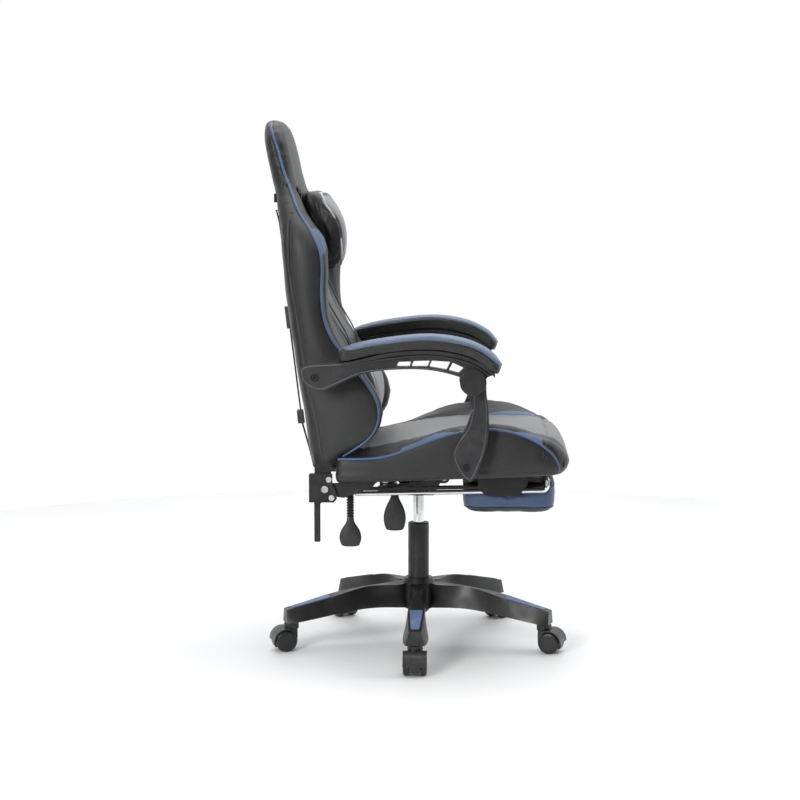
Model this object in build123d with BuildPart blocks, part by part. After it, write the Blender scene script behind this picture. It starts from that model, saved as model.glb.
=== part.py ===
from build123d import *
from math import cos, radians, sin
import os

# A racing-style gaming chair: five-legged base on casters, gas lift, rocking seat, reclining back
# with linked armrests, and a footrest that slides out from under the seat and flips over.
# Millimetres, +Z up, origin on the floor under the lift. The sitter faces -Y, the sitter's right is -X.
# Side outlines are written as (forward, height), where forward is -Y.

os.makedirs("parts", exist_ok=True)

# ---------------------------------------------------------------- driving dimensions
PLAY = 0.05  # radial play of every shaft that turns or slides in a bore

LEGS = 5
CASTER_RADIUS = 313  # lift axis to caster stem
CASTER_TRAIL = 17
WHEEL_R = 25
WHEEL_INNER = 13.2  # inner face of a caster wheel from the caster's middle
WHEEL_OUTER = 27
AXLE_R = 3
STEM_R = 5.5
STEM_TOP = 92

TUBE_R = 25  # the 50 mm outer tube of the gas lift
TUBE_BORE_R = 23.5
TUBE_BOTTOM = 72
TUBE_TOP = 284
CYLINDER_R = 14  # the 28 mm chrome cylinder
CYLINDER_BORE_R = 11
CYLINDER_BOTTOM = 149
CYLINDER_TOP = 392
ROD_R = 4

SEAT_RISE = 2.3  # degrees that the seat climbs towards the front
SEAT_LINE_REAR = (-183, 418.5)  # on the underside of the seat
SEAT_HALF_WIDTH = 262
SEAT_WELL_HALF_WIDTH = 168
BOARD_T = 12
BOARD_HALF_WIDTH = 212
TILT_PIVOT = (62, 404)

BACK_HALF_WIDTH = 258
BACK_WELL_HALF_WIDTH = 165
RECLINE_PIVOT = (-207.5, 405.5)

ARM_REAR_PIVOT = (-221.5, 669)
ARM_FRONT_PIVOT = (128, 660)
POST_PIVOT = (114, 465.5)
ARM_INNER = 299  # the arm's web, from the chair's middle
ARM_OUTER = 327
POST_INNER = 267
POST_OUTER = 297
PAD_INNER = 262
PAD_OUTER = 337
BOLT_R = 5

RAIL_X = 152.5
RAIL_R = 5.5
RAIL_SLOPE = 0.022
FOOTREST_PIVOT = (300, 415.5)
FOOTREST_HALF_WIDTH = 140


# ---------------------------------------------------------------- shared helpers
def side_plane(x=0):
    """The plane across the chair at x, drawn as (forward, height). Its normal is -X."""
    return Plane(origin=(x, 0, 0), x_dir=(0, -1, 0), z_dir=(-1, 0, 0))


def seat_line(forward, above=0):
    """Height of the seat's underside at a place along it."""
    rise = sin(radians(SEAT_RISE)) / cos(radians(SEAT_RISE))
    return SEAT_LINE_REAR[1] + (forward - SEAT_LINE_REAR[0]) * rise + above


def rail_height(forward):
    """Height of the footrest rail's axis at a place along it."""
    return 384.5 + (forward + 40) * RAIL_SLOPE


def save(builder, label):
    """Name a finished piece and write its file."""
    builder.part.label = label
    export_step(builder.part, f"parts/{label}.step")


def save_mirrored(builder, label):
    """Write the left-hand twin of a right-hand piece."""
    with BuildPart() as twin:
        mirror(builder.part, about=Plane.YZ)
    save(twin, label)


# ---------------------------------------------------------------- star base
RADIAL = Plane(origin=(0, 0, 0), x_dir=(-1, 0, 0), z_dir=(0, 1, 0))  # (outwards, height) of one leg
HUB_R = 40
HUB_BOTTOM = 84
HUB_TOP = 157
# distance out, underside, top, width below, width above
LEG_SECTIONS = (
    (30, 87, 149, 34, 16),
    (100, 91, 143, 36, 15),
    (160, 88.5, 136.5, 38, 19),
    (215, 82, 124.5, 48, 38),
    (255, 76.5, 115, 56, 36),
    (300, 70, 104.2, 57, 31),
    (328, 66, 97.5, 43, 27),
)
INSERT_MIDDLE = (268, 113.2)
INSERT_SLOPE = 13.5
INSERT_LENGTH = 96
INSERT_WIDTHS = (31, 19)
INSERT_T = 4.4

with BuildPart() as leg:
    for out, low, high, wide, narrow in LEG_SECTIONS:
        with BuildSketch(side_plane(-out)):
            Polygon((-wide / 2, low), (wide / 2, low), (narrow / 2, high), (-narrow / 2, high), align=None)
    loft()

insert_plane = Plane(
    origin=(-INSERT_MIDDLE[0], 0, INSERT_MIDDLE[1]),
    x_dir=(-cos(radians(INSERT_SLOPE)), 0, -sin(radians(INSERT_SLOPE))),
    z_dir=(-sin(radians(INSERT_SLOPE)), 0, cos(radians(INSERT_SLOPE))),
)
with BuildPart() as insert:
    with BuildSketch(insert_plane) as insert_outline:
        near, far = INSERT_WIDTHS
        Polygon(
            (-INSERT_LENGTH / 2, -near / 2),
            (INSERT_LENGTH / 2, -far / 2),
            (INSERT_LENGTH / 2, far / 2),
            (-INSERT_LENGTH / 2, near / 2),
            align=None,
        )
        fillet(insert_outline.vertices(), radius=3)
    extrude(amount=-INSERT_T)

with BuildPart() as star_base:
    with PolarLocations(0, LEGS):
        add(leg.part)
    with BuildSketch(Plane.XZ):
        Polygon((0, HUB_BOTTOM), (HUB_R - 4, HUB_BOTTOM), (HUB_R, 102), (HUB_R, 146), (33, HUB_TOP), (0, HUB_TOP), align=None)
    revolve(axis=Axis.Z)
    with Locations((0, 0, HUB_BOTTOM - 1)):
        Cylinder(
            TUBE_R + PLAY, 80, align=(Align.CENTER, Align.CENTER, Align.MIN), mode=Mode.SUBTRACT
        )
    with PolarLocations(0, LEGS):
        add(insert.part, mode=Mode.SUBTRACT)
    with PolarLocations(-CASTER_RADIUS, LEGS):
        Cylinder(
            STEM_R, STEM_TOP, align=(Align.CENTER, Align.CENTER, Align.MIN), mode=Mode.SUBTRACT
        )
save(star_base, "star_base")

with BuildPart() as base_inserts:
    with PolarLocations(0, LEGS):
        add(insert.part)
save(base_inserts, "base_inserts")

# ---------------------------------------------------------------- casters
HOUSING_TOP = 64
WEB_HALF_T = 12.6
HOOD_INNER_R = 27.5
HOOD_OUTER_R = 30.5
AXLE_AT = CASTER_RADIUS + CASTER_TRAIL

with BuildPart() as stem:
    with Locations((-CASTER_RADIUS, 0, 34)):
        Cylinder(STEM_R, STEM_TOP - 34, align=(Align.CENTER, Align.CENTER, Align.MIN))
    with Locations((-CASTER_RADIUS, 0, HOUSING_TOP + 0.4)):
        Cylinder(STEM_R + 3, 2.4, align=(Align.CENTER, Align.CENTER, Align.MIN))

with BuildPart() as caster_stems:
    with PolarLocations(0, LEGS):
        add(stem.part)
save(caster_stems, "caster_stems")

with BuildPart() as caster_housing:
    with BuildSketch(RADIAL):
        with Locations((AXLE_AT, WHEEL_R)):
            Circle(HOOD_INNER_R + 1)
        with BuildLine():
            Polyline(
                (CASTER_RADIUS - 12, 30),
                (AXLE_AT, 6),
                (AXLE_AT, HOOD_INNER_R + WHEEL_R),
                (CASTER_RADIUS - 12, HOOD_INNER_R + WHEEL_R),
                close=True,
            )
        make_face()
        with Locations((AXLE_AT, -6)):
            Rectangle(80, 32, mode=Mode.SUBTRACT)  # open under the wheels' middle
    extrude(amount=WEB_HALF_T, both=True)
    with BuildSketch(RADIAL):
        with Locations((AXLE_AT, WHEEL_R)):
            Circle(HOOD_OUTER_R)
            Circle(HOOD_INNER_R, mode=Mode.SUBTRACT)
        with Locations((AXLE_AT - HOOD_OUTER_R, WHEEL_R + 13)):
            Rectangle(2 * HOOD_OUTER_R - 36, 80, mode=Mode.SUBTRACT)  # the hood ends above the stem
        with Locations((AXLE_AT, 0)):
            Rectangle(90, 2 * WHEEL_R, mode=Mode.SUBTRACT)  # and at the height of the axle
    extrude(amount=WHEEL_OUTER, both=True)
    with Locations((-CASTER_RADIUS, 0, 52.4)):
        Cylinder(17.5, HOUSING_TOP - 52.4, align=(Align.CENTER, Align.CENTER, Align.MIN))
    with Locations((-CASTER_RADIUS, 0, 33)):
        Cylinder(
            STEM_R + PLAY, 40, align=(Align.CENTER, Align.CENTER, Align.MIN), mode=Mode.SUBTRACT
        )
    with BuildSketch(RADIAL):
        with Locations((AXLE_AT, WHEEL_R)):
            Circle(AXLE_R + PLAY)
    extrude(amount=40, both=True, mode=Mode.SUBTRACT)

with BuildPart() as caster_axle:
    with BuildSketch(RADIAL):
        with Locations((AXLE_AT, WHEEL_R)):
            Circle(AXLE_R)
    extrude(amount=WHEEL_OUTER - 3, both=True)

with BuildPart() as caster_wheels:
    with BuildSketch(Plane(origin=(-AXLE_AT, 0, WHEEL_R), x_dir=(0, 1, 0), z_dir=(1, 0, 0))):
        with BuildLine():
            Polyline(
                (WHEEL_INNER, 0),
                (WHEEL_INNER, WHEEL_R - 1),
                (WHEEL_INNER + 1, WHEEL_R),
                (WHEEL_OUTER - 4, WHEEL_R),
            )
            ThreePointArc(
                (WHEEL_OUTER - 4, WHEEL_R), (WHEEL_OUTER - 1.4, WHEEL_R - 1.6), (WHEEL_OUTER - 0.4, WHEEL_R - 4.5)
            )
            Polyline((WHEEL_OUTER - 0.4, WHEEL_R - 4.5), (WHEEL_OUTER, WHEEL_R - 6), (WHEEL_OUTER, 0), (WHEEL_INNER, 0))
        make_face()
    revolve(axis=Axis((-AXLE_AT, 0, WHEEL_R), (0, 1, 0)))
    mirror(about=Plane.XZ)
    add(caster_axle.part, mode=Mode.SUBTRACT)

for number in range(LEGS):
    turn = Location((0, 0, 0), (0, 0, number * 360 / LEGS))
    for piece, name in ((caster_housing, "housing"), (caster_axle, "axle"), (caster_wheels, "wheels")):
        with BuildPart() as turned:
            with Locations(turn):
                add(piece.part)
        save(turned, f"caster_{number + 1}_{name}")

# ---------------------------------------------------------------- gas lift
with BuildPart() as lift_outer_tube:
    with Locations((0, 0, TUBE_BOTTOM)):
        Cylinder(TUBE_R, TUBE_TOP - TUBE_BOTTOM, align=(Align.CENTER, Align.CENTER, Align.MIN))
    chamfer(lift_outer_tube.edges().sort_by(Axis.Z)[0], length=5)
    with Locations((0, 0, TUBE_BOTTOM + 4)):
        Cylinder(TUBE_BORE_R, 250, align=(Align.CENTER, Align.CENTER, Align.MIN), mode=Mode.SUBTRACT)
    with Locations((0, 0, TUBE_BOTTOM)):
        Cylinder(14, 10, align=(Align.CENTER, Align.CENTER, Align.MIN), mode=Mode.SUBTRACT)
save(lift_outer_tube, "lift_outer_tube")

with BuildPart() as lift_bearing:
    with Locations((0, 0, TUBE_BOTTOM + 4)):
        Cylinder(18, 8, align=(Align.CENTER, Align.CENTER, Align.MIN))
        Cylinder(
            ROD_R + PLAY, 8, align=(Align.CENTER, Align.CENTER, Align.MIN), mode=Mode.SUBTRACT
        )
save(lift_bearing, "lift_bearing")

with BuildPart() as lift_bushing:
    with BuildSketch(Plane.XZ):
        Polygon(
            (CYLINDER_R + PLAY, 215), (TUBE_BORE_R - 0.05, 215), (TUBE_BORE_R - 0.05, TUBE_TOP),
            (TUBE_R, TUBE_TOP), (TUBE_R, TUBE_TOP + 4), (TUBE_R - 2, TUBE_TOP + 6),
            (CYLINDER_R + PLAY, TUBE_TOP + 6), align=None,
        )
    revolve(axis=Axis.Z)
save(lift_bushing, "lift_bushing")

with BuildPart() as lift_rod:
    with Locations((0, 0, TUBE_BOTTOM + 2)):
        Cylinder(ROD_R, 160, align=(Align.CENTER, Align.CENTER, Align.MIN))
    with Locations((0, 0, TUBE_BOTTOM + 13)):
        Cylinder(ROD_R + 3, 3, align=(Align.CENTER, Align.CENTER, Align.MIN))
    with Locations((0, 0, 222)):
        Cylinder(
            CYLINDER_BORE_R - PLAY, 13, align=(Align.CENTER, Align.CENTER, Align.MIN)
        )
save(lift_rod, "lift_rod")

with BuildPart() as lift_cylinder:
    with BuildSketch(Plane.XZ):
        Polygon(
            (ROD_R + PLAY, CYLINDER_BOTTOM), (CYLINDER_R, CYLINDER_BOTTOM), (CYLINDER_R, CYLINDER_TOP - 1),
            (CYLINDER_R - 1, CYLINDER_TOP), (4, CYLINDER_TOP), (4, CYLINDER_TOP + 6), (0, CYLINDER_TOP + 6),
            (0, 375), (CYLINDER_BORE_R, 375), (CYLINDER_BORE_R, CYLINDER_BOTTOM + 12),
            (ROD_R + PLAY, CYLINDER_BOTTOM + 12), align=None,
        )
    revolve(axis=Axis.Z)
save(lift_cylinder, "lift_cylinder")

# ---------------------------------------------------------------- rocking mechanism
TRAY_HALF_WIDTH = 48
WALL_T = 4
HEIGHT_ROD_AT = (-53, 376)  # where the height lever's rod passes the tray's wall
TILT_ROD_AT = (-151.5, 402)
EAR_INNER = 50
PLATE_HALF_WIDTH = 74
PLATE_T = 4
PIN_R = 6

with BuildPart() as mechanism_housing:
    with BuildSketch(side_plane(0)):
        Polygon((-95, 362), (36, 362), (40, 366), (-95, 366), align=None)
    extrude(amount=TRAY_HALF_WIDTH, both=True)
    for x in (TRAY_HALF_WIDTH, -TRAY_HALF_WIDTH + WALL_T):
        with BuildSketch(side_plane(x)):
            with BuildLine():
                Polyline((50, 410), (20, 396), (-95, 384), (-95, 362), (36, 362), (52, 391), (62, 391))
                ThreePointArc((62, 391), (75, 404), (62, 417))
                Line((62, 417), (50, 410))
            make_face()
            with Locations(TILT_PIVOT):
                Circle(PIN_R + PLAY, mode=Mode.SUBTRACT)
            with Locations(HEIGHT_ROD_AT):
                Circle(5, mode=Mode.SUBTRACT)
        extrude(amount=WALL_T)
    with Locations((0, 0, 357)):
        Cylinder(22, 34, align=(Align.CENTER, Align.CENTER, Align.MIN))
        Cylinder(CYLINDER_R, 34, align=(Align.CENTER, Align.CENTER, Align.MIN), mode=Mode.SUBTRACT)
save(mechanism_housing, "mechanism_housing")

with BuildPart() as mechanism_frame:
    with BuildSketch(side_plane(0)):
        Polygon(
            (-158, seat_line(-158)), (140, seat_line(140)),
            (140, seat_line(140, -PLATE_T)), (-158, seat_line(-158, -PLATE_T)), align=None,
        )
    extrude(amount=PLATE_HALF_WIDTH, both=True)
    for x in (EAR_INNER + WALL_T, -EAR_INNER):
        with BuildSketch(side_plane(x)):
            with Locations(TILT_PIVOT):
                Circle(12)
            Polygon((40, seat_line(40, -1)), (84, seat_line(84, -1)), (74, 402), (50, 402), align=None)
            with Locations(TILT_PIVOT):
                Circle(PIN_R, mode=Mode.SUBTRACT)
        extrude(amount=WALL_T)
    with BuildSketch(side_plane(-PLATE_HALF_WIDTH + WALL_T)):
        Polygon((-160, 392), (-142, 392), (-138, seat_line(-138, -1)), (-158, seat_line(-158, -1)), align=None)
        with Locations(TILT_ROD_AT):
            Circle(4 + PLAY, mode=Mode.SUBTRACT)
    extrude(amount=WALL_T)
save(mechanism_frame, "mechanism_frame")

with BuildPart() as tilt_pin:
    with BuildSketch(side_plane(0)):
        with Locations(TILT_PIVOT):
            Circle(PIN_R)
    extrude(amount=EAR_INNER + WALL_T + 3, both=True)
save(tilt_pin, "tilt_pin")

SPRING_WIRE_R = 2.5
SPRING_R = 15
SPRING_BOTTOM = 366.5
SPRING_HEIGHT = 46
SPRING_AT = (0, 68, SPRING_BOTTOM + SPRING_WIRE_R)

with BuildPart() as tilt_spring:
    with BuildLine():
        coil = Helix(pitch=9.4, height=SPRING_HEIGHT, radius=SPRING_R, center=SPRING_AT)
    with BuildSketch(Plane(origin=coil @ 0, z_dir=coil % 0)):
        Circle(SPRING_WIRE_R)
    sweep(path=coil, is_frenet=True)
save(tilt_spring, "tilt_spring")


# ---------------------------------------------------------------- hand levers
def paddle(x, forward, top, bottom, half_width, neck_half_width, thickness):
    """A flat hanging paddle: a narrow neck that widens to a rounded blade."""
    shoulder = top - (top - bottom) * 0.25
    widest = bottom + half_width * 0.8
    with BuildPart() as blade:
        with BuildSketch(side_plane(x)) as outline:
            with BuildLine():
                Polyline(
                    (forward - neck_half_width, top),
                    (forward - neck_half_width, shoulder),
                    (forward - half_width, widest),
                    (forward - half_width + 4, bottom),
                    (forward + half_width - 4, bottom),
                    (forward + half_width, widest),
                    (forward + neck_half_width, shoulder),
                    (forward + neck_half_width, top),
                    close=True,
                )
            make_face()
            rounded = outline.vertices().group_by(Axis.Y)[:2]
            fillet([corner for row in rounded for corner in row], radius=9)
        extrude(amount=thickness)
        edges = blade.faces().filter_by(Axis.X).edges()
        fillet(edges, radius=2.5)
    return blade


HEIGHT_LEVER_X = -108
HEIGHT_LEVER_PIVOT = (-46, 53, 376)
height_rod_ends = ((-12, 10, 406), (-38, 53, 376), (HEIGHT_LEVER_X - 5, 53, 376), (HEIGHT_LEVER_X - 5, 53, 358))
with BuildPart() as height_rod:
    with BuildLine() as height_route:
        FilletPolyline(*height_rod_ends, radius=8)
    with BuildSketch(Plane(origin=height_route.line @ 0, z_dir=height_route.line % 0)):
        Circle(3)
    sweep()
    with Locations(HEIGHT_LEVER_PIVOT):
        Cylinder(1, 10, rotation=(90, 0, 0), mode=Mode.SUBTRACT)  # cross hole of its pivot pin
save(height_rod, "height_lever_rod")

height_paddle = paddle(HEIGHT_LEVER_X, HEIGHT_ROD_AT[0], 386, 289.5, 27, 8.3, 10)
with BuildPart() as height_grip:
    add(height_paddle.part)
    add(height_rod.part, mode=Mode.SUBTRACT)
save(height_grip, "height_lever_paddle")

TILT_LEVER_X = -200
tilt_rod_ends = ((-64, 151.5, 402), (TILT_LEVER_X, 151.5, 402), (TILT_LEVER_X, 151.5, 325))
with BuildPart() as tilt_rod:
    with BuildLine() as tilt_route:
        FilletPolyline(*tilt_rod_ends, radius=12)
    with BuildSketch(Plane(origin=tilt_route.line @ 0, z_dir=tilt_route.line % 0)):
        Circle(4)
    sweep()
save(tilt_rod, "tilt_lever_rod")

SLEEVE_TOP = 388
SLEEVE_BOTTOM = 338
RIB_COUNT = 10
with BuildPart() as tilt_sleeve:
    pitch = (SLEEVE_TOP - SLEEVE_BOTTOM) / RIB_COUNT
    with Locations((TILT_LEVER_X, 151.5, SLEEVE_BOTTOM)):
        Cylinder(7.6, SLEEVE_TOP - SLEEVE_BOTTOM, align=(Align.CENTER, Align.CENTER, Align.MIN))
    for rib in range(RIB_COUNT):
        with Locations((TILT_LEVER_X, 151.5, SLEEVE_BOTTOM + rib * pitch + 1)):
            Cylinder(9.4, pitch * 0.55, align=(Align.CENTER, Align.CENTER, Align.MIN))
    add(tilt_rod.part, mode=Mode.SUBTRACT)
save(tilt_sleeve, "tilt_lever_sleeve")

tilt_paddle = paddle(TILT_LEVER_X + 6, TILT_ROD_AT[0], SLEEVE_BOTTOM - 0.2, 267.4, 26.4, 9, 12)
with BuildPart() as tilt_grip:
    add(tilt_paddle.part)
    add(tilt_rod.part, mode=Mode.SUBTRACT)
save(tilt_grip, "tilt_lever_paddle")

# ---------------------------------------------------------------- seat
SEAT_BOARD_FRONT = 300
SEAT_FRONT = 357

with BuildPart() as seat_board:
    with BuildSketch(side_plane(0)):
        Polygon(
            (-165, seat_line(-165)), (SEAT_BOARD_FRONT, seat_line(SEAT_BOARD_FRONT)),
            (SEAT_BOARD_FRONT, seat_line(SEAT_BOARD_FRONT, BOARD_T)), (-165, seat_line(-165, BOARD_T)), align=None,
        )
    extrude(amount=BOARD_HALF_WIDTH, both=True)
save(seat_board, "seat_board")

with BuildPart() as seat_cushion:
    with BuildSketch(side_plane(0)):
        with BuildLine():
            Line((340, seat_line(340)), (-186, seat_line(-186)))
            Line((-186, seat_line(-186)), (-177, 483))
            Spline(
                (-177, 483), (-60, 495), (52, 540), (150, 556), (240, 543), (318, 503),
                tangents=((1, 0.02), (0.62, -0.78)),
            )
            Spline((318, 503), (350, 474), (SEAT_FRONT, 456), (340, seat_line(340)), tangents=((0.62, -0.78), (-0.9, -0.3)))
        make_face()
    extrude(amount=SEAT_HALF_WIDTH, both=True)
    with BuildSketch(Plane.XY.offset(400)) as plan:
        with Locations((0, -83)):
            Rectangle(2 * SEAT_HALF_WIDTH, 560)
        fillet(plan.vertices().group_by(Axis.Y)[0], radius=85)
    extrude(amount=200, mode=Mode.INTERSECT)
    with BuildSketch(side_plane(0)):
        with BuildLine():
            Spline(
                (-190, 486), (-95, 494), (-10, 513), (125, 523), (250, 522), (318, 503),
                tangents=((1, 0.02), (0.75, -0.66)),
            )
            Polyline((318, 503), (400, 440), (400, 600), (-190, 600), (-190, 486))
        make_face()
    extrude(amount=SEAT_WELL_HALF_WIDTH, both=True, mode=Mode.SUBTRACT)
    add(seat_board.part, mode=Mode.SUBTRACT)
save(seat_cushion, "seat_cushion")

MOUNT_BOLTS = ((-62, -100), (-62, 120), (62, -100), (62, 120))  # x and forward
with BuildPart() as seat_bolts:
    for x, forward in MOUNT_BOLTS:
        with Locations((x, -forward, seat_line(forward, -PLATE_T - 4.3))):
            Cylinder(6, 4, align=(Align.CENTER, Align.CENTER, Align.MIN))
save(seat_bolts, "seat_bolts")

# ---------------------------------------------------------------- recliner
SEAT_BRACKET_X = 220.5
BACK_LEG_X = 226.5
COVER_X = 232
COVER_T = 4
PLATE_STEEL = 5


with BuildPart() as seat_brackets:
    with BuildSketch(side_plane(-SEAT_BRACKET_X)) as web:
        with BuildLine():
            Polyline(
                (-222, 392), (-222, 414), (-190, seat_line(-190, -0.5)), (-90, seat_line(-90, -0.5)),
                (-100, 408), (-165, 384), close=True,
            )
        make_face()
        with Locations(RECLINE_PIVOT):
            Circle(PIN_R, mode=Mode.SUBTRACT)
    extrude(amount=PLATE_STEEL)
    with BuildSketch(side_plane(-SEAT_BRACKET_X + 32)):
        Polygon(
            (-160, seat_line(-160)), (-90, seat_line(-90)),
            (-90, seat_line(-90, -4)), (-160, seat_line(-160, -4)), align=None,
        )
    extrude(amount=32 + PLATE_STEEL)
    mirror(about=Plane.YZ)
save(seat_brackets, "seat_brackets")

with BuildPart() as back_brackets:
    with BuildSketch(side_plane(-COVER_X)) as cover:
        with BuildLine():
            Polyline(
                (-243.5, 375), (-243.5, 441.6), (-190, 441.6), (-190, 412), (-187, 412), (-181, 394), (-180, 383),
                (-187, 375),
                close=True,
            )
        make_face()
        fillet(cover.vertices().group_by(Axis.Y)[-1], radius=4)
        with Locations(RECLINE_PIVOT):
            Circle(PIN_R + PLAY, mode=Mode.SUBTRACT)
    extrude(amount=COVER_T)
    mirror(about=Plane.YZ)
save(back_brackets, "back_brackets")

COVER_BOLTS = ((-198, 428), (-192, 386))
with BuildPart() as recliner_bolts:
    for x in (-COVER_X - COVER_T, COVER_X + COVER_T + 4):
        with BuildSketch(side_plane(x)):
            with Locations(*COVER_BOLTS):
                Circle(6.5)
        extrude(amount=4)
save(recliner_bolts, "recliner_bolts")

with BuildPart() as recliner_pins:
    for inner, head in ((-213, -COVER_X - COVER_T - 0.5), (COVER_X + COVER_T + 4.5, COVER_X + COVER_T + 4.5)):
        with BuildSketch(side_plane(inner)):
            with Locations(RECLINE_PIVOT):
                Circle(PIN_R)
        extrude(amount=COVER_X + COVER_T + 4.5 - 213)
        with BuildSketch(side_plane(head)):
            with Locations(RECLINE_PIVOT):
                Circle(8)
        extrude(amount=4)
save(recliner_pins, "recliner_pins")

RECLINE_LEVER_X = -214.5
with BuildPart() as recline_lever:
    with BuildSketch(side_plane(RECLINE_LEVER_X)):
        with Locations(RECLINE_PIVOT):
            Circle(12)
        Polygon((-219, 396), (-200, 396), (-219, 368), (-233, 368), (-233, 384), align=None)
        Polygon((-233, 370), (-219, 370), (-219, 281), (-233, 281), align=None)
        with Locations(RECLINE_PIVOT):
            Circle(PIN_R + PLAY, mode=Mode.SUBTRACT)
    extrude(amount=PLATE_STEEL)
    fillet(recline_lever.edges().filter_by(Axis.X).group_by(Axis.Z)[0], radius=3)
save(recline_lever, "recline_lever")

# ---------------------------------------------------------------- back
BACK_TOP = 1251
STRAP_HOLE = (100, 150, 1030, 1086)  # inner, outer, bottom, top

with BuildPart() as back_frame:
    for side in (-1, 1):
        tube_route = (
            (side * 195, 214, 446), (side * 195, 226, 560), (side * 195, 262, 800),
            (side * 182, 284, 985), (side * 160, 299, 1092), (side * 75, 328, 1195),
        )
        with BuildLine() as tube_line:
            FilletPolyline(*tube_route, radius=20)
        with BuildSketch(Plane(origin=tube_line.line @ 0, z_dir=tube_line.line % 0)):
            Circle(9)
        sweep()
    for x_half, y, z in ((195, 219, 500), (195, 240, 654), (182, 284, 985), (77, 327.5, 1192)):
        with Locations(Location((0, y, z), (0, 90, 0))):
            Cylinder(7.5, 2 * x_half)
    for x in (-BACK_LEG_X, BACK_LEG_X + PLATE_STEEL):
        with BuildSketch(side_plane(x)):
            with BuildLine():
                Polyline((-231, 390), (-231, 560), (-205, 560), (-193, 440), (-193, 390), close=True)
            make_face()
            with Locations(RECLINE_PIVOT):
                Circle(PIN_R + PLAY, mode=Mode.SUBTRACT)
        extrude(amount=PLATE_STEEL)
    for x in (-195, BACK_LEG_X + PLATE_STEEL):
        with BuildSketch(side_plane(x)):
            with Locations((-214.8, 455), (-221, 530)):
                Circle(8)
        extrude(amount=BACK_LEG_X + PLATE_STEEL - 195)
    for x in (-195, 236):
        with BuildSketch(side_plane(x)):
            with Locations(ARM_REAR_PIVOT):
                Circle(15)
            Polygon((-255, 655), (-215, 655), (-215, 683), (-255, 683), align=None)
        extrude(amount=41)
save(back_frame, "back_frame")

with BuildPart() as back_cushion:
    with BuildSketch(Plane.XZ.offset(-400)):  # outline from the front, swept from rear to front
        with BuildLine():
            edge = Spline(
                (222, 443), (247, 500), (BACK_HALF_WIDTH, 640), (BACK_HALF_WIDTH, 780), (267, 900),
                (266, 955), (246, 1003), (205, 1048), (170, 1092), (152, 1150), (147, 1195), (118, 1238),
                (0, BACK_TOP),
                tangents=((0.2, 1), (-1, 0)),
            )
            mirror(edge, about=Plane.YZ)
            Line((-222, 443), (222, 443))
        make_face()
    extrude(amount=340)
    with BuildSketch(side_plane(0)):
        with BuildLine():
            Spline(
                (-237, 443), (-258, 600), (-285, 760), (-305, 945), (-318, 1045), (-350, 1185), (-352, 1232),
                (-340, BACK_TOP + 1),
                tangents=((-0.1, 1), (0.9, 0.44)),
            )
            Spline((-340, BACK_TOP + 1), (-312, 1235), (-293, 1175), (-264, 1090), tangents=((1, -0.2), (0.3, -1)))
            Spline(
                (-264, 1090), (-232, 1017), (-199, 955), (-198, 865), (-197, 810), (-160, 728),
                (-100, 640), (-72, 578), (-90, 526), (-140, 491),
                tangents=((0.3, -1), (-1, -0.5)),
            )
            Polyline((-140, 491), (-181, 488), (-190, 460), (-190, 443), (-237, 443))
        make_face()
    extrude(amount=300, both=True, mode=Mode.INTERSECT)
    with BuildSketch(side_plane(0)):
        with BuildLine():
            Polyline((-152, 486), (-152, 700))
            Spline((-152, 700), (-172, 760), (-215, 830), (-236, 885), tangents=((0, 1), (-0.15, 1)))
            Polyline((-236, 885), (-270, 1096), (-258, 1125), (-40, 1125), (-40, 486), (-152, 486))
        make_face()
    extrude(amount=BACK_WELL_HALF_WIDTH, both=True, mode=Mode.SUBTRACT)
    hole_in, hole_out, hole_low, hole_high = STRAP_HOLE
    with BuildSketch(Plane.XZ.offset(-400)) as holes:
        for side in (-1, 1):
            with Locations((side * (hole_in + hole_out) / 2, (hole_low + hole_high) / 2)):
                RectangleRounded(hole_out - hole_in, hole_high - hole_low, 14)
    extrude(amount=340, mode=Mode.SUBTRACT)
save(back_cushion, "back_cushion")

PILLOW_HALF_WIDTH = 135
with BuildPart() as head_pillow:
    with BuildSketch(side_plane(0)):
        with BuildLine():
            Line((-231, 893), (-260.5, 1076))
            Spline((-260.5, 1076), (-231, 1074), (-200, 1046), (-176, 995), (-175, 945), (-192, 901), (-231, 893))
        make_face()
    extrude(amount=PILLOW_HALF_WIDTH, both=True)
save(head_pillow, "head_pillow")

LUMBAR_HALF_WIDTH = 150
with BuildPart() as lumbar_cushion:
    with BuildSketch(side_plane(0)):
        with BuildLine():
            Line((-147, 538), (-147, 692))
            Spline((-147, 692), (-117, 681), (-96, 650), (-89, 603), (-94, 563), (-114, 540), (-147, 538))
        make_face()
    extrude(amount=LUMBAR_HALF_WIDTH, both=True)
save(lumbar_cushion, "lumbar_cushion")

# ---------------------------------------------------------------- straps
STRAP_T = 1.6
STRAP_WIDTH = 22
LUMBAR_STRAP_X = 110
HEAD_STRAP_X = 141
HEAD_STRAP_REAR = 327.5
HEAD_STRAP_BOTTOM = 1052
strap_loop = (
    (-241, 441), (-252, 486), (-268, 543), (-294, 757), (-302, 858), (-310, 948), (-318, 1008), (-325, 1034.5),
    (-257.2, 1033.5), (-232.2, 884), (-200, 815), (-166, 757), (-153, 730), (-149.4, 705), (-149.4, 484.5),
    (-177, 484.5),
    (-186.5, 458), (-186.5, 440),
)
with BuildPart() as lumbar_straps:
    for x in (-LUMBAR_STRAP_X, LUMBAR_STRAP_X + STRAP_WIDTH):
        with BuildSketch(side_plane(x)):
            with BuildLine():
                Polyline(*strap_loop, close=True)
            make_face()
            offset(amount=-STRAP_T, kind=Kind.INTERSECTION, mode=Mode.SUBTRACT)
        extrude(amount=STRAP_WIDTH)

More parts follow.
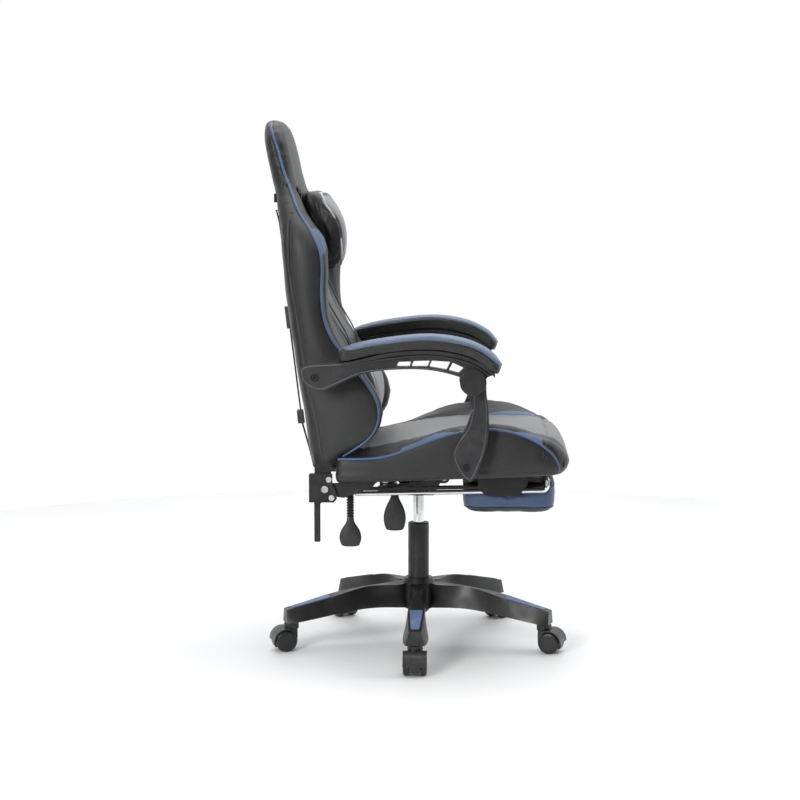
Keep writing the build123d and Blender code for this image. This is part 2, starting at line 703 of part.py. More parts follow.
with BuildPart() as elastic_straps:
    add(lumbar_straps.part)
    with BuildSketch(Plane.XY.offset(HEAD_STRAP_BOTTOM)):
        with Locations((0, HEAD_STRAP_REAR - 31)):
            Rectangle(2 * HEAD_STRAP_X, 62)
            Rectangle(2 * (HEAD_STRAP_X - STRAP_T), 62 - 2 * STRAP_T, mode=Mode.SUBTRACT)
            Rectangle(2 * (HEAD_STRAP_X - 20), 80, mode=Mode.SUBTRACT)
        with Locations((0, HEAD_STRAP_REAR - STRAP_T / 2)):
            Rectangle(2 * HEAD_STRAP_X - 2, STRAP_T)
    extrude(amount=STRAP_WIDTH - 2)
save(elastic_straps, "elastic_straps")

with BuildPart() as strap_buckles:
    for x in (-LUMBAR_STRAP_X + 3, LUMBAR_STRAP_X + STRAP_WIDTH + 3):
        with BuildSketch(side_plane(x)):
            Polygon((-300, 763), (-288, 763), (-294, 813), (-306, 813), align=None)
            Polygon((-276, 543), (-262, 543), (-266, 573), (-279, 573), align=None)
        extrude(amount=STRAP_WIDTH + 6)
    add(lumbar_straps.part, mode=Mode.SUBTRACT)
save(strap_buckles, "strap_buckles")

# ---------------------------------------------------------------- armrests
RIM_T = 8
DISC_R = 29.5
ARM_CROWN = ((-158, 703), (-86, 719), (25, 730), (117, 715), (176, 678))
# corners (forward, height) of the windows under the arm's rim
ARM_WINDOWS = (
    ((-42, 694), (-13, 694), (-9, 706), (-36, 705)),
    ((-9, 694), (26.5, 694), (33, 708), (-3, 707)),
    ((30.5, 693.5), (69, 687), (78, 705.5), (37, 708)),
    ((73, 685.5), (96, 680), (108, 692), (83, 703.5)),
)


def arm_top(drop=0):
    """The line where the pad sits on the arm, or one that far below it."""
    crown = [(forward, height - drop) for forward, height in ARM_CROWN]
    return Spline(*crown, tangents=((1, 0.12), (0.62, -0.78)))


with BuildPart() as arm_right:
    with BuildSketch(side_plane(-ARM_INNER)) as web_outline:
        with BuildLine():
            top = arm_top()
            Polyline(top @ 1, (160, 672), (128, 631))
            Spline((128, 631), (104, 646), (98, 672), tangents=((-1, 0), (0.2, 1)))
            Spline(
                (98, 672), (39, 686), (-42, 688), (-115, 678), (-182, 649), (-210, 640), (-240, 650), (-256, 676),
                (-249, 696), tangents=((-1, 0.3), (0.6, 0.6)),
            )
            Spline((-249, 696), (-196, 701), top @ 0, tangents=((1, 0.1), (1, 0.12)))
        make_face()
        with Locations(ARM_REAR_PIVOT, ARM_FRONT_PIVOT):
            Circle(BOLT_R + PLAY, mode=Mode.SUBTRACT)
    extrude(amount=ARM_OUTER - ARM_INNER)
    with BuildSketch(side_plane(-ARM_INNER)) as windows:
        for corners in ARM_WINDOWS:
            Polygon(*corners, align=None)
        fillet(windows.vertices(), radius=2)
    extrude(amount=ARM_OUTER - ARM_INNER, mode=Mode.SUBTRACT)
    with BuildSketch(side_plane(-PAD_INNER - 5)):
        with BuildLine():
            top = arm_top()
            under = arm_top(RIM_T)
            Line(top @ 0, under @ 0)
            Line(top @ 1, under @ 1)
        make_face()
    extrude(amount=PAD_OUTER - PAD_INNER - 10)
    with BuildSketch(side_plane(-SEAT_HALF_WIDTH - 1.2)):
        with Locations(ARM_REAR_PIVOT):
            Circle(24)
            Circle(BOLT_R + PLAY, mode=Mode.SUBTRACT)
    extrude(amount=ARM_INNER - SEAT_HALF_WIDTH)
    with BuildSketch(side_plane(-ARM_OUTER + 6)):
        with Locations(ARM_REAR_PIVOT):
            Circle(8.6)
    extrude(amount=6, mode=Mode.SUBTRACT)
save(arm_right, "arm_right")
save_mirrored(arm_right, "arm_left")

with BuildPart() as arm_pad_right:
    with BuildSketch(side_plane(-PAD_INNER)):
        with BuildLine():
            base = arm_top()
            Spline(base @ 1, (194, 695), (165, 727), (108, 754), (24, 764), (-87, 751), (-165, 733), (-172, 716), base @ 0)
        make_face()
    extrude(amount=PAD_OUTER - PAD_INNER)
save(arm_pad_right, "arm_pad_right")
save_mirrored(arm_pad_right, "arm_pad_left")

with BuildPart() as arm_disc_right:
    with BuildSketch(side_plane(-ARM_OUTER - 0.2)):
        with Locations(ARM_FRONT_PIVOT):
            Circle(DISC_R)
    extrude(amount=6)
    fillet(arm_disc_right.edges().sort_by(Axis.X)[0], radius=1.5)
    with BuildSketch(side_plane(-POST_INNER - 1)):
        with Locations(ARM_FRONT_PIVOT):
            Circle(BOLT_R)
    extrude(amount=ARM_OUTER - POST_INNER)
save(arm_disc_right, "arm_disc_right")
save_mirrored(arm_disc_right, "arm_disc_left")

POST_HUB_R = 24
OPEN_PIVOT_R = BOLT_R + 6  # the linkage is opened here, so the pin has room all round
with BuildPart() as arm_post_right:
    with BuildSketch(side_plane(-POST_INNER)):
        with Locations(ARM_FRONT_PIVOT):
            Circle(POST_HUB_R)
        with BuildLine():
            Line((108, 652), (150, 670))
            Spline((150, 670), (163, 587), (158.5, 515), (143, 466), (122, 433), tangents=((0.2, -1), (-0.8, -0.5)))
            Spline((122, 433), (94, 459), (84, 495), (106, 541), (126, 592), (108, 652), tangents=((-0.9, 0.5), (-0.3, 1)))
        make_face()
        with Locations(ARM_FRONT_PIVOT):
            Circle(OPEN_PIVOT_R, mode=Mode.SUBTRACT)
        with Locations(POST_PIVOT):
            Circle(BOLT_R + PLAY, mode=Mode.SUBTRACT)
    extrude(amount=POST_OUTER - POST_INNER)
    with BuildSketch(side_plane(-POST_OUTER + 5)):
        with Locations(POST_PIVOT):
            Circle(8.6)
    extrude(amount=5, mode=Mode.SUBTRACT)
save(arm_post_right, "arm_post_right")
save_mirrored(arm_post_right, "arm_post_left")


def shoulder_bolt(pivot, inner, head_at):
    """Both sides' bolts: a plain shank that the arm or post turns on, and a round head."""
    with BuildPart() as bolts:
        with BuildSketch(side_plane(-inner)):
            with Locations(pivot):
                Circle(BOLT_R)
        extrude(amount=head_at - inner)
        with BuildSketch(side_plane(-head_at)):
            with Locations(pivot):
                Circle(7.6)
                Circle(3, mode=Mode.SUBTRACT)
        extrude(amount=3.5)
        mirror(about=Plane.YZ)
    return bolts


save(shoulder_bolt(ARM_REAR_PIVOT, 236.5, ARM_OUTER - 5.5), "arm_rear_bolts")
save(shoulder_bolt(POST_PIVOT, SEAT_HALF_WIDTH + 0.5, POST_OUTER - 4.5), "arm_front_bolts")

# ---------------------------------------------------------------- footrest
RAIL_REAR = -143
GUIDE_REAR = 140
GUIDE_FRONT = 255
rail_tilt = (0, -1, RAIL_SLOPE)

with BuildPart() as footrest_rails:
    for side in (-1, 1):
        rail_route = (
            (side * RAIL_X, -RAIL_REAR, rail_height(RAIL_REAR)),
            (side * RAIL_X, -FOOTREST_PIVOT[0], rail_height(FOOTREST_PIVOT[0])),
            (side * RAIL_X, -FOOTREST_PIVOT[0], FOOTREST_PIVOT[1]),
        )
        with BuildLine() as rail_line:
            FilletPolyline(*rail_route, radius=12)
        with BuildSketch(Plane(origin=rail_line.line @ 0, z_dir=rail_line.line % 0)):
            Circle(RAIL_R)
        sweep()
        with Locations((side * RAIL_X, -FOOTREST_PIVOT[0], FOOTREST_PIVOT[1])):
            Sphere(RAIL_R)
    with Locations(Location((0, -FOOTREST_PIVOT[0], FOOTREST_PIVOT[1]), (0, 90, 0))):
        Cylinder(RAIL_R, 2 * RAIL_X)
save(footrest_rails, "footrest_rails")

with BuildPart() as footrest_guides:
    with BuildSketch(side_plane(-RAIL_X + 11)):
        Polygon(
            (GUIDE_REAR, rail_height(GUIDE_REAR) + 9), (GUIDE_REAR, seat_line(GUIDE_REAR)),
            (GUIDE_FRONT, seat_line(GUIDE_FRONT)), (GUIDE_FRONT, 408), (236, rail_height(236) - 9),
            (160, rail_height(160) - 9), align=None,
        )
        Polygon(
            (-138, rail_height(-138) + 8), (-138, rail_height(-138) + 14),
            (GUIDE_REAR + 5, rail_height(GUIDE_REAR) + 14), (GUIDE_REAR + 5, rail_height(GUIDE_REAR) + 8), align=None,
        )
        Polygon((-130, 393), (-130, seat_line(-130)), (-104, seat_line(-104)), (-110, 396), align=None)
    extrude(amount=22)
    with BuildSketch(Plane(origin=(-RAIL_X, -120, rail_height(120)), z_dir=rail_tilt)):
        Circle(RAIL_R + PLAY)
    extrude(amount=160, mode=Mode.SUBTRACT)
    mirror(about=Plane.YZ)
save(footrest_guides, "footrest_guides")

PAD_TOP = 402
with BuildPart() as footrest_pad:
    with BuildSketch(side_plane(0)) as pad_outline:
        with BuildLine():
            Polyline((103, PAD_TOP), (103, 338), (323, 338), (323, PAD_TOP), close=True)
        make_face()
        fillet(pad_outline.vertices().group_by(Axis.Y)[0], radius=16)
    extrude(amount=FOOTREST_HALF_WIDTH, both=True)
save(footrest_pad, "footrest_pad")

HINGE_X = 100
with BuildPart() as footrest_hinge:
    with BuildSketch(side_plane(0)):
        Polygon((120, PAD_TOP + 0.2), (312, PAD_TOP + 0.2), (312, PAD_TOP + 3.2), (120, PAD_TOP + 3.2), align=None)
    extrude(amount=HINGE_X + 14, both=True)
    for x in (-HINGE_X + 14, HINGE_X + 14):
        with BuildSketch(side_plane(x)):
            with Locations(FOOTREST_PIVOT):
                Circle(RAIL_R + 3)
            Polygon((291, PAD_TOP + 2), (309, PAD_TOP + 2), (306, 415), (294, 415), align=None)
            with Locations(FOOTREST_PIVOT):
                Circle(RAIL_R + PLAY, mode=Mode.SUBTRACT)
        extrude(amount=28)
save(footrest_hinge, "footrest_hinge")
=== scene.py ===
import math

import bmesh
import bpy
import numpy as np
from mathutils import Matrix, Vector
from mathutils.bvhtree import BVHTree


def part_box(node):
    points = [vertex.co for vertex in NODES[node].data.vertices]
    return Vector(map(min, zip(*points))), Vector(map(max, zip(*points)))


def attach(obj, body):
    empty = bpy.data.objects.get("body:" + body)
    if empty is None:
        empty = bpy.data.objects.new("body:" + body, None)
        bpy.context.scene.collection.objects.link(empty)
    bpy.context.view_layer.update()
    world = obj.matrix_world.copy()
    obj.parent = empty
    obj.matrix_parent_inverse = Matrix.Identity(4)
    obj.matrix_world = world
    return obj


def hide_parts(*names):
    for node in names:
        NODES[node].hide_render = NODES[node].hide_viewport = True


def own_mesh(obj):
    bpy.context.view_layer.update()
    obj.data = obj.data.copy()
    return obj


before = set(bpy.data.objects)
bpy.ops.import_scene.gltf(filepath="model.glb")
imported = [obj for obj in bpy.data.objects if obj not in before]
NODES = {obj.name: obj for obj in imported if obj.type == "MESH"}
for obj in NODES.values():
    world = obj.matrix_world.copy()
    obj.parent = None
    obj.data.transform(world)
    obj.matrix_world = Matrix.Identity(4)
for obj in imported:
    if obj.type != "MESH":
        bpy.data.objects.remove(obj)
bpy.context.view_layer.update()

# The gaming chair's looks. Metres, +Z up, the sitter faces -Y and the sitter's right is -X.
# Outlines seen from the side are written as (forward, height), where forward is -Y.

SIDES = (("right", -1), ("left", 1))

# ---------------------------------------------------------------- colours, linear
CHARCOAL = (0.0115, 0.0118, 0.0125)
DEEP_BLACK = (0.006, 0.006, 0.0065)
BLUE = (0.060, 0.112, 0.225)
PALE_BLUE = (0.120, 0.185, 0.310)
WHITE = (0.62, 0.63, 0.64)
GREY = (0.200, 0.205, 0.215)
# Painted sheen: the lighter grey that the seat's black leather middle is painted, for the sheen it shows at a
# low angle.
PAINTED_SHEEN_GREY = (0.160, 0.162, 0.167)
PALE_PAINTED_SHEEN_GREY = (0.215, 0.218, 0.224)


# ---------------------------------------------------------------- curves and meshes
def smooth(knots, at):
    """Values between (place, value, ...) knots, without overshoot."""
    table = np.array(knots, float)
    place, value = table[:, 0], table[:, 1:]
    step = np.diff(place)[:, None]
    rise = np.diff(value, axis=0) / step
    slope = np.vstack((rise[:1], np.zeros_like(rise[1:]), rise[-1:]))
    same = rise[:-1] * rise[1:] > 0
    total = np.where(same, rise[:-1] + rise[1:], 1)
    slope[1:-1] = np.where(same, 2 * rise[:-1] * rise[1:] / total, 0)
    at = np.clip(np.atleast_1d(np.asarray(at, float)), place[0], place[-1])
    left = np.clip(np.searchsorted(place, at) - 1, 0, len(place) - 2)
    part = ((at - place[left]) / step[left, 0])[:, None]
    start = (2 * part**3 - 3 * part**2 + 1) * value[left]
    start_slope = (part**3 - 2 * part**2 + part) * slope[left] * step[left]
    end = (3 * part**2 - 2 * part**3) * value[left + 1]
    end_slope = (part**3 - part**2) * slope[left + 1] * step[left]
    return start + start_slope + end + end_slope


def through(points, count, closed=False):
    """Points spread evenly along a Catmull-Rom curve through the given ones."""
    path = np.array(points, float)
    if closed:
        path = np.vstack((path[-1:], path, path[:2]))
    else:
        path = np.vstack((2 * path[0] - path[1], path, 2 * path[-1] - path[-2]))
    fine = []
    for a, b, c, d in zip(path[:-3], path[1:-2], path[2:-1], path[3:]):
        for part in np.linspace(0, 1, 12, endpoint=False):
            fine.append(
                0.5 * (2 * b + (c - a) * part + (2 * a - 5 * b + 4 * c - d) * part**2
                       + (3 * b - a - 3 * c + d) * part**3)
            )
    fine.append(path[-2])
    fine = np.array(fine)
    run = np.concatenate(([0], np.cumsum(np.linalg.norm(np.diff(fine, axis=0), axis=1))))
    at = np.linspace(0, run[-1], count, endpoint=not closed)
    return np.column_stack([np.interp(at, run, axis) for axis in fine.T])


def mesh_object(name, vertices, faces):
    """A smooth-shaded mesh with its normals outwards."""
    mesh = bpy.data.meshes.new(name)
    mesh.from_pydata([tuple(v) for v in vertices], [], faces)
    shape = bmesh.new()
    shape.from_mesh(mesh)
    bmesh.ops.recalc_face_normals(shape, faces=shape.faces)
    shape.to_mesh(mesh)
    shape.free()
    mesh.shade_smooth()
    made = bpy.data.objects.new(name, mesh)
    bpy.context.scene.collection.objects.link(made)
    return made


def loft(name, rings):
    """A closed skin over rings of points, an array of (ring, point, xyz)."""
    rings = np.asarray(rings, float)
    count = rings.shape[1]
    vertices = list(rings.reshape(-1, 3))
    faces = []
    for ring in range(len(rings) - 1):
        for place in range(count):
            a = ring * count + place
            b = ring * count + (place + 1) % count
            faces.append((a, b, b + count, a + count))
    for ring in (0, len(rings) - 1):
        vertices.append(rings[ring].mean(axis=0))
        for place in range(count):
            a = ring * count + place
            faces.append((a, ring * count + (place + 1) % count, len(vertices) - 1))
    return mesh_object(name, vertices, faces)


def turns(count):
    """That many angles evenly round a full turn."""
    return np.linspace(0, 2 * math.pi, count, endpoint=False)


def squared(value, power):
    """A sine or cosine pushed out towards 1, which makes a circle's corners fuller."""
    return np.sign(value) * np.abs(value) ** power


def places(piece):
    """The piece's vertices as an array."""
    found = np.zeros(len(piece.data.vertices) * 3)
    piece.data.vertices.foreach_get("co", found)
    return found.reshape(-1, 3)


def move_to(piece, where):
    """Puts the piece's vertices at the given places."""
    piece.data.vertices.foreach_set("co", np.asarray(where, float).ravel())
    piece.data.update()


def apply_modifiers(piece):
    """Replaces the mesh by what its modifiers make of it."""
    graph = bpy.context.evaluated_depsgraph_get()
    mesh = bpy.data.meshes.new_from_object(piece.evaluated_get(graph))
    piece.modifiers.clear()
    piece.data = mesh


def remesh(piece, voxel):
    """Even quads all over."""
    modifier = piece.modifiers.new("Remesh", "REMESH")
    modifier.mode = "VOXEL"
    modifier.voxel_size = voxel
    modifier.use_smooth_shade = True
    apply_modifiers(piece)


def inflate(piece, pressure=4.0, cap=0.008, held=None):
    """Blows the cover up from inside as cloth. held is 0 to 1 at each point, for how far it is fixed."""
    before = places(piece)
    modifier = piece.modifiers.new("Cloth", "CLOTH")
    cover = modifier.settings
    cover.quality = 4
    cover.mass = 0.25
    cover.tension_stiffness = 18
    cover.compression_stiffness = 18
    cover.bending_stiffness = 0.6
    cover.use_pressure = True
    cover.uniform_pressure_force = pressure
    cover.effector_weights.gravity = 0
    modifier.point_cache.frame_start = 1
    modifier.point_cache.frame_end = 20
    for number in range(1, 21):
        bpy.context.scene.frame_set(number)
    apply_modifiers(piece)
    bpy.context.scene.frame_set(1)
    shift = places(piece) - before
    length = np.linalg.norm(shift, axis=1, keepdims=True)
    shift *= np.minimum(1, cap / np.maximum(length, 1e-9))
    if held is not None:
        shift *= 1 - held(before)[:, None]
    move_to(piece, before + shift)


def relax(piece, times=2, factor=0.5):
    """Takes the small steps out of a remeshed surface."""
    shape = bmesh.new()
    shape.from_mesh(piece.data)
    for _ in range(times):
        bmesh.ops.smooth_vert(shape, verts=shape.verts, factor=factor, use_axis_x=True,
                              use_axis_y=True, use_axis_z=True)
    shape.to_mesh(piece.data)
    shape.free()


def subdivide(piece):
    """One round of Catmull-Clark."""
    piece.modifiers.new("Subdivision", "SUBSURF").levels = 1
    apply_modifiers(piece)
    piece.data.shade_smooth()


def normals(piece):
    """The direction out of the surface at each vertex."""
    found = np.zeros(len(piece.data.vertices) * 3)
    piece.data.vertex_normals.foreach_get("vector", found)
    return found.reshape(-1, 3)


def swell(piece, height):
    """Moves the surface out by the height given for each vertex."""
    move_to(piece, places(piece) + normals(piece) * height[:, None])


def groove(piece, distance, depth, width):
    """Sinks the surface along a seam, where distance is measured from it."""
    swell(piece, -depth * np.exp(-((np.abs(distance) / width) ** 2)))


def store(piece, name, values):
    """Keeps a number for each vertex, which materials read."""
    layer = piece.data.attributes.new(name, "FLOAT", "POINT")
    layer.data.foreach_set("value", np.asarray(values, np.float32))


def wave(where, scale, seed=0.0):
    """Slow, smooth unevenness from -1 to 1, the same each run."""
    x, y, z = (where * scale + seed).T
    return (np.sin(x * 1.7 + 1.3 * np.sin(y * 1.1 + 0.7)) + np.sin(y * 2.3 + 1.7 * np.sin(z * 1.3))
            + np.sin(z * 1.9 + 1.1 * np.sin(x * 1.6 + 2.0))) / 3


def tube(name, route, radius, surface, body, closed=False):
    """A round strand along a smooth route."""
    line = bpy.data.curves.new(name, "CURVE")
    line.dimensions = "3D"
    line.bevel_depth = radius
    line.bevel_resolution = 3
    line.use_fill_caps = True
    spline = line.splines.new("NURBS")
    spline.points.add(len(route) - 1)
    for point, place in zip(spline.points, route):
        point.co = (*place, 1)
    spline.order_u = 3
    spline.use_cyclic_u = closed
    spline.use_endpoint_u = not closed
    made = bpy.data.objects.new(name, line)
    bpy.context.scene.collection.objects.link(made)
    made.data.materials.append(surface)
    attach(made, body)


def dress(piece, surface, body, cad_node):
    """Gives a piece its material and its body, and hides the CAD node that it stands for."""
    piece.data.materials.append(surface)
    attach(piece, body)
    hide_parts(cad_node)


def surface_of(piece):
    """A search tree of the piece's faces."""
    shape = bmesh.new()
    shape.from_mesh(piece.data)
    tree = BVHTree.FromBMesh(shape)
    shape.free()
    return tree


def laid_on(tree, route, out, smoothings=4):
    """The route moved onto a surface, standing out by that much, with its small wiggles evened out."""
    laid = []
    for place in route:
        near, normal, _, _ = tree.find_nearest(Vector(place))
        laid.append(near + normal * out)
    return evened(laid, smoothings)


def evened(route, times):
    """The route with each place drawn towards its two neighbours, a few times."""
    route = np.array(route)
    for _ in range(times):
        route[1:-1] = 0.5 * route[1:-1] + 0.25 * (route[:-2] + route[2:])
    return route


# ---------------------------------------------------------------- material building
def feed(socket, value):
    """Links another node's socket to this one, or sets this one to a value."""
    if isinstance(value, bpy.types.NodeSocket):
        socket.id_data.links.new(value, socket)
    elif socket.type == "RGBA" and len(value) == 3:
        socket.default_value = (*value, 1)
    else:
        socket.default_value = value


def node(beside, kind, inputs=None, **settings):
    """Adds a shader node to the tree of the socket or node beside it, with its settings and inputs."""
    made = beside.id_data.nodes.new("ShaderNode" + kind)
    for key, value in settings.items():
        setattr(made, key, value)
    for key, value in (inputs or {}).items():
        feed(made.inputs[key], value)
    return made


def calc(operation, a, b=0.0):
    """The two values put together by a Math node."""
    return node(a, "Math", {0: a, 1: b}, operation=operation).outputs[0]


def ramp(value, low, high, out_low=0.0, out_high=1.0):
    """Goes smoothly from out_low to out_high as value goes from low to high."""
    limits = {"Value": value, 1: low, 2: high, 3: out_low, 4: out_high}
    return node(value, "MapRange", limits, interpolation_type="SMOOTHSTEP").outputs[0]


def mix(factor, a, b):
    """Colour a where factor is 0 and b where it is 1."""
    return node(factor, "Mix", {0: factor, 6: a, 7: b}, data_type="RGBA").outputs[2]


def noise(where, scale, detail=2.0, roughness=0.5):
    """Cloudy unevenness from 0 to 1."""
    settings = {"Vector": where, "Scale": scale, "Detail": detail, "Roughness": roughness}
    return node(where, "TexNoise", settings).outputs["Fac"]


def cells(where, scale):
    """Distance to the nearest cell edge of a cracked pattern, as leather grain has."""
    settings = {"Vector": where, "Scale": scale}
    return node(where, "TexVoronoi", settings, feature="DISTANCE_TO_EDGE").outputs["Distance"]


def stretched(where, scale):
    """The coordinates scaled by three factors, for a pattern drawn out along one axis."""
    return node(where, "Mapping", {"Vector": where, "Scale": scale}).outputs["Vector"]


def stored(beside, name):
    """The number that the mesh keeps under that name."""
    return node(beside, "Attribute", attribute_name=name).outputs["Fac"]


def bump(height, strength, distance, below=None):
    """Relief on top of the relief below, if there is one."""
    inputs = {"Height": height, "Strength": strength, "Distance": distance}
    if below is not None:
        inputs["Normal"] = below
    return node(height, "Bump", inputs).outputs["Normal"]


def material(name):
    """A new material: itself, its shader and the coordinates in metres of what wears it."""
    made = bpy.data.materials.new(name)
    made.use_nodes = True
    shader = made.node_tree.nodes["Principled BSDF"]
    return made, shader, node(shader, "TexCoord").outputs["Object"]


def shade(shader, **inputs):
    """Sets or links the shader's inputs by name, with _ for a space."""
    for key, value in inputs.items():
        feed(shader.inputs[key.replace("_", " ")], value)


def tinted(where, colour, spread, scale=9.0):
    """The colour with slow light and dark areas."""
    dark = tuple(c * (1 - spread) for c in colour)
    light = tuple(min(1, c * (1 + spread)) for c in colour)
    return mix(ramp(noise(where, scale, 3), 0.35, 0.65), dark, light)


def mottled(where, dark, light):
    """A heathered two-tone surface."""
    coarse = noise(where, 420, 2, 0.6)
    return mix(ramp(coarse, 0.38, 0.62), dark, light)


def leather(name, base=CHARCOAL, zones=(), roughness=0.4, stitched=True):
    """Coated leather: fine cracked grain, pores, scuffs, and seams with stitches where they are stored.
    zones are (stored name, dark, light): panels of another colour where the stored number is positive."""
    made, shader, where = material(name)
    colour = tinted(where, base, 0.16)
    for zone, dark, light in zones:
        inside = ramp(stored(where, zone), -0.0004, 0.0004)
        colour = mix(inside, colour, mottled(where, dark, light))
    grain = ramp(cells(where, 620), 0.0, 0.22)
    pores = noise(where, 1500, 2, 0.7)
    scuffs = ramp(noise(where, 38, 5, 0.65), 0.56, 0.78)
    colour = mix(calc("MULTIPLY", scuffs, 0.10), colour, (0.20, 0.20, 0.21))
    colour = mix(ramp(grain, 0.0, 1.0, 0.30, 0.0), colour, DEEP_BLACK)
    rough = calc("ADD", ramp(scuffs, 0, 1, roughness, roughness + 0.14),
                 ramp(grain, 0, 1, 0.08, 0.0))
    normal = bump(noise(where, 26, 3), 0.25, 0.004)
    normal = bump(grain, 0.35, 0.0005, normal)
    normal = bump(pores, 0.18, 0.0003, normal)
    if stitched:
        seam = stored(where, "seam")
        colour = mix(ramp(seam, 0.0004, 0.0022, 0.85, 0.0), colour, DEEP_BLACK)
        beside = calc("ABSOLUTE", calc("SUBTRACT", seam, 0.0042))
        dashes = calc("PINGPONG", stored(where, "along"), 0.0024)
        thread = calc(
            "MULTIPLY", ramp(beside, 0.0004, 0.0009, 1, 0), ramp(dashes, 0.0006, 0.001)
        )
        colour = mix(calc("MULTIPLY", thread, 0.6), colour, (0.09, 0.09, 0.095))
        normal = bump(thread, 0.5, 0.0008, normal)
    shade(shader, Base_Color=colour, Roughness=rough, Normal=normal, Specular_IOR_Level=0.55,
          Coat_Weight=0.08, Coat_Roughness=0.35)
    return made


def woven(name, dark, light, threads=1100.0 / 6):
    """Webbing with crossing threads."""
    made, shader, where = material(name)
    across = node(where, "TexWave", {"Vector": where, "Scale": threads}, bands_direction="X")
    along = node(where, "TexWave", {"Vector": where, "Scale": threads}, bands_direction="Z")
    weave = calc("MULTIPLY", across.outputs["Fac"], along.outputs["Fac"])
    colour = mix(weave, dark, light)
    colour = mix(calc("MULTIPLY", noise(where, 60, 4), 0.35), colour, dark)
    fuzz = noise(where, 2200, 2)
    normal = bump(weave, 0.6, 0.0006)
    normal = bump(fuzz, 0.25, 0.0003, normal)
    shade(shader, Base_Color=colour, Roughness=0.8, Normal=normal, Sheen_Weight=0.15)
    return made


def moulded(name, colour, roughness, mottle=None):
    """Moulded plastic: spark-eroded grain, faint flow marks, and sharp edges painted lighter, partly rubbed
    wear and partly a painted highlight.
    """
    made, shader, where = material(name)
    tone = tinted(where, colour, 0.14, 14)
    if mottle:
        tone = mottled(where, colour, mottle)
    # Sharp edges painted lighter: partly rubbed wear, partly a painted highlight where the edges catch the
    # light.
    edge_wear_and_highlight = ramp(node(where, "NewGeometry").outputs["Pointiness"], 0.53, 0.62)
    worn_and_highlight = calc("MULTIPLY", edge_wear_and_highlight, ramp(noise(where, 45, 4), 0.4, 0.7, 0.1, 0.45))
    tone = mix(worn_and_highlight, tone, tuple(min(1, c * 2.2 + 0.04) for c in colour))
    dust = ramp(noise(where, 75, 5, 0.7), 0.55, 0.8)
    tone = mix(calc("MULTIPLY", dust, 0.05), tone, (0.35, 0.34, 0.33))
    grain = noise(where, 1700, 2, 0.65)
    rough = ramp(noise(where, 30, 4), 0.3, 0.7, roughness - 0.06, roughness + 0.08)
    normal = bump(grain, 0.22, 0.0004)
    shade(shader, Base_Color=tone, Roughness=rough, Normal=normal)
    return made


def polished(name, colour, roughness):
    """Chrome plate with faint hairlines and smudges."""
    made, shader, where = material(name)
    hairs = noise(stretched(where, (300.0, 300.0, 18.0)), 6, 3)
    smudge = ramp(noise(where, 24, 4), 0.4, 0.7)
    rough = calc("ADD", ramp(smudge, 0, 1, roughness, roughness + 0.12),
                 calc("MULTIPLY", hairs, 0.05))
    tone = mix(calc("MULTIPLY", smudge, 0.18), colour, tuple(c * 0.8 for c in colour))
    shade(shader, Base_Color=tone, Metallic=1.0, Roughness=rough,
          Normal=bump(hairs, 0.04, 0.0002))
    return made


def coated_steel(name, colour, roughness):
    """Powder coat: orange peel and a little dust."""
    made, shader, where = material(name)
    tone = tinted(where, colour, 0.2, 20)
    dust = ramp(noise(where, 55, 5, 0.7), 0.5, 0.8)
    tone = mix(calc("MULTIPLY", dust, 0.07), tone, (0.25, 0.25, 0.26))
    peel = noise(where, 520, 2)
    rough = ramp(noise(where, 40, 4), 0.3, 0.7, roughness - 0.08, roughness + 0.1)
    shade(shader, Base_Color=tone, Roughness=rough, Normal=bump(peel, 0.2, 0.0005))
    return made


def bare_steel(name):
    """Zinc-plated steel with fine brushing."""
    made, shader, where = material(name)
    brushed = noise(stretched(where, (40.0, 900.0, 900.0)), 3, 3)
    tone = mix(brushed, (0.62, 0.62, 0.63), (0.86, 0.86, 0.87))
    rough = ramp(noise(where, 60, 3), 0.3, 0.7, 0.22, 0.42)
    shade(shader, Base_Color=tone, Metallic=1.0, Roughness=rough,
          Normal=bump(brushed, 0.12, 0.0003))
    return made


def plywood(name):
    """Dark plywood: rings and long fibres."""
    made, shader, where = material(name)
    rings = {"Vector": where, "Scale": 14.0, "Distortion": 9.0, "Detail": 4.0}
    grain = node(where, "TexWave", rings, bands_direction="X").outputs["Fac"]
    fibres = noise(stretched(where, (220.0, 9.0, 220.0)), 3, 4)
    tone = mix(grain, (0.050, 0.038, 0.026), (0.085, 0.066, 0.046))
    tone = mix(calc("MULTIPLY", fibres, 0.5), tone, (0.03, 0.024, 0.018))
    shade(shader, Base_Color=tone, Roughness=0.7, Normal=bump(fibres, 0.25, 0.0005))
    return made


SEAMED_COVER = leather("charcoal_cover", zones=(
    # rear: painted shade, the back's rear panel coloured darker than the sides.
    ("rear", (0.0035, 0.0035, 0.004), (0.0050, 0.0050, 0.0055)),
    # panel: painted sheen, the seat's middle and front coloured a lighter grey than the black leather.
    ("panel", PAINTED_SHEEN_GREY, PALE_PAINTED_SHEEN_GREY),
    ("blue", BLUE, PALE_BLUE),
))
PILLOW_COVER = leather("pillow_cover", DEEP_BLACK, zones=(("panel", GREY, (0.30, 0.305, 0.315)),))
FOOTREST_COVER = leather(
    "footrest_cover", CHARCOAL,
    zones=(("blue", (0.050, 0.092, 0.195), (0.064, 0.115, 0.230)), ("panel", GREY, (0.26, 0.26, 0.27))),
)
PAD_COVER = leather(
    "arm_pad_cover", CHARCOAL, zones=(("blue", (0.090, 0.140, 0.235), (0.150, 0.210, 0.315)),),
)
BLUE_PIPING = leather("blue_piping", (0.068, 0.125, 0.265), stitched=False, roughness=0.36)
WHITE_PIPING = leather("white_piping", WHITE, stitched=False, roughness=0.42)
BLACK_PIPING = leather("black_piping", DEEP_BLACK, stitched=False)
WEBBING = woven("black_webbing", (0.008, 0.008, 0.009), (0.030, 0.030, 0.032))
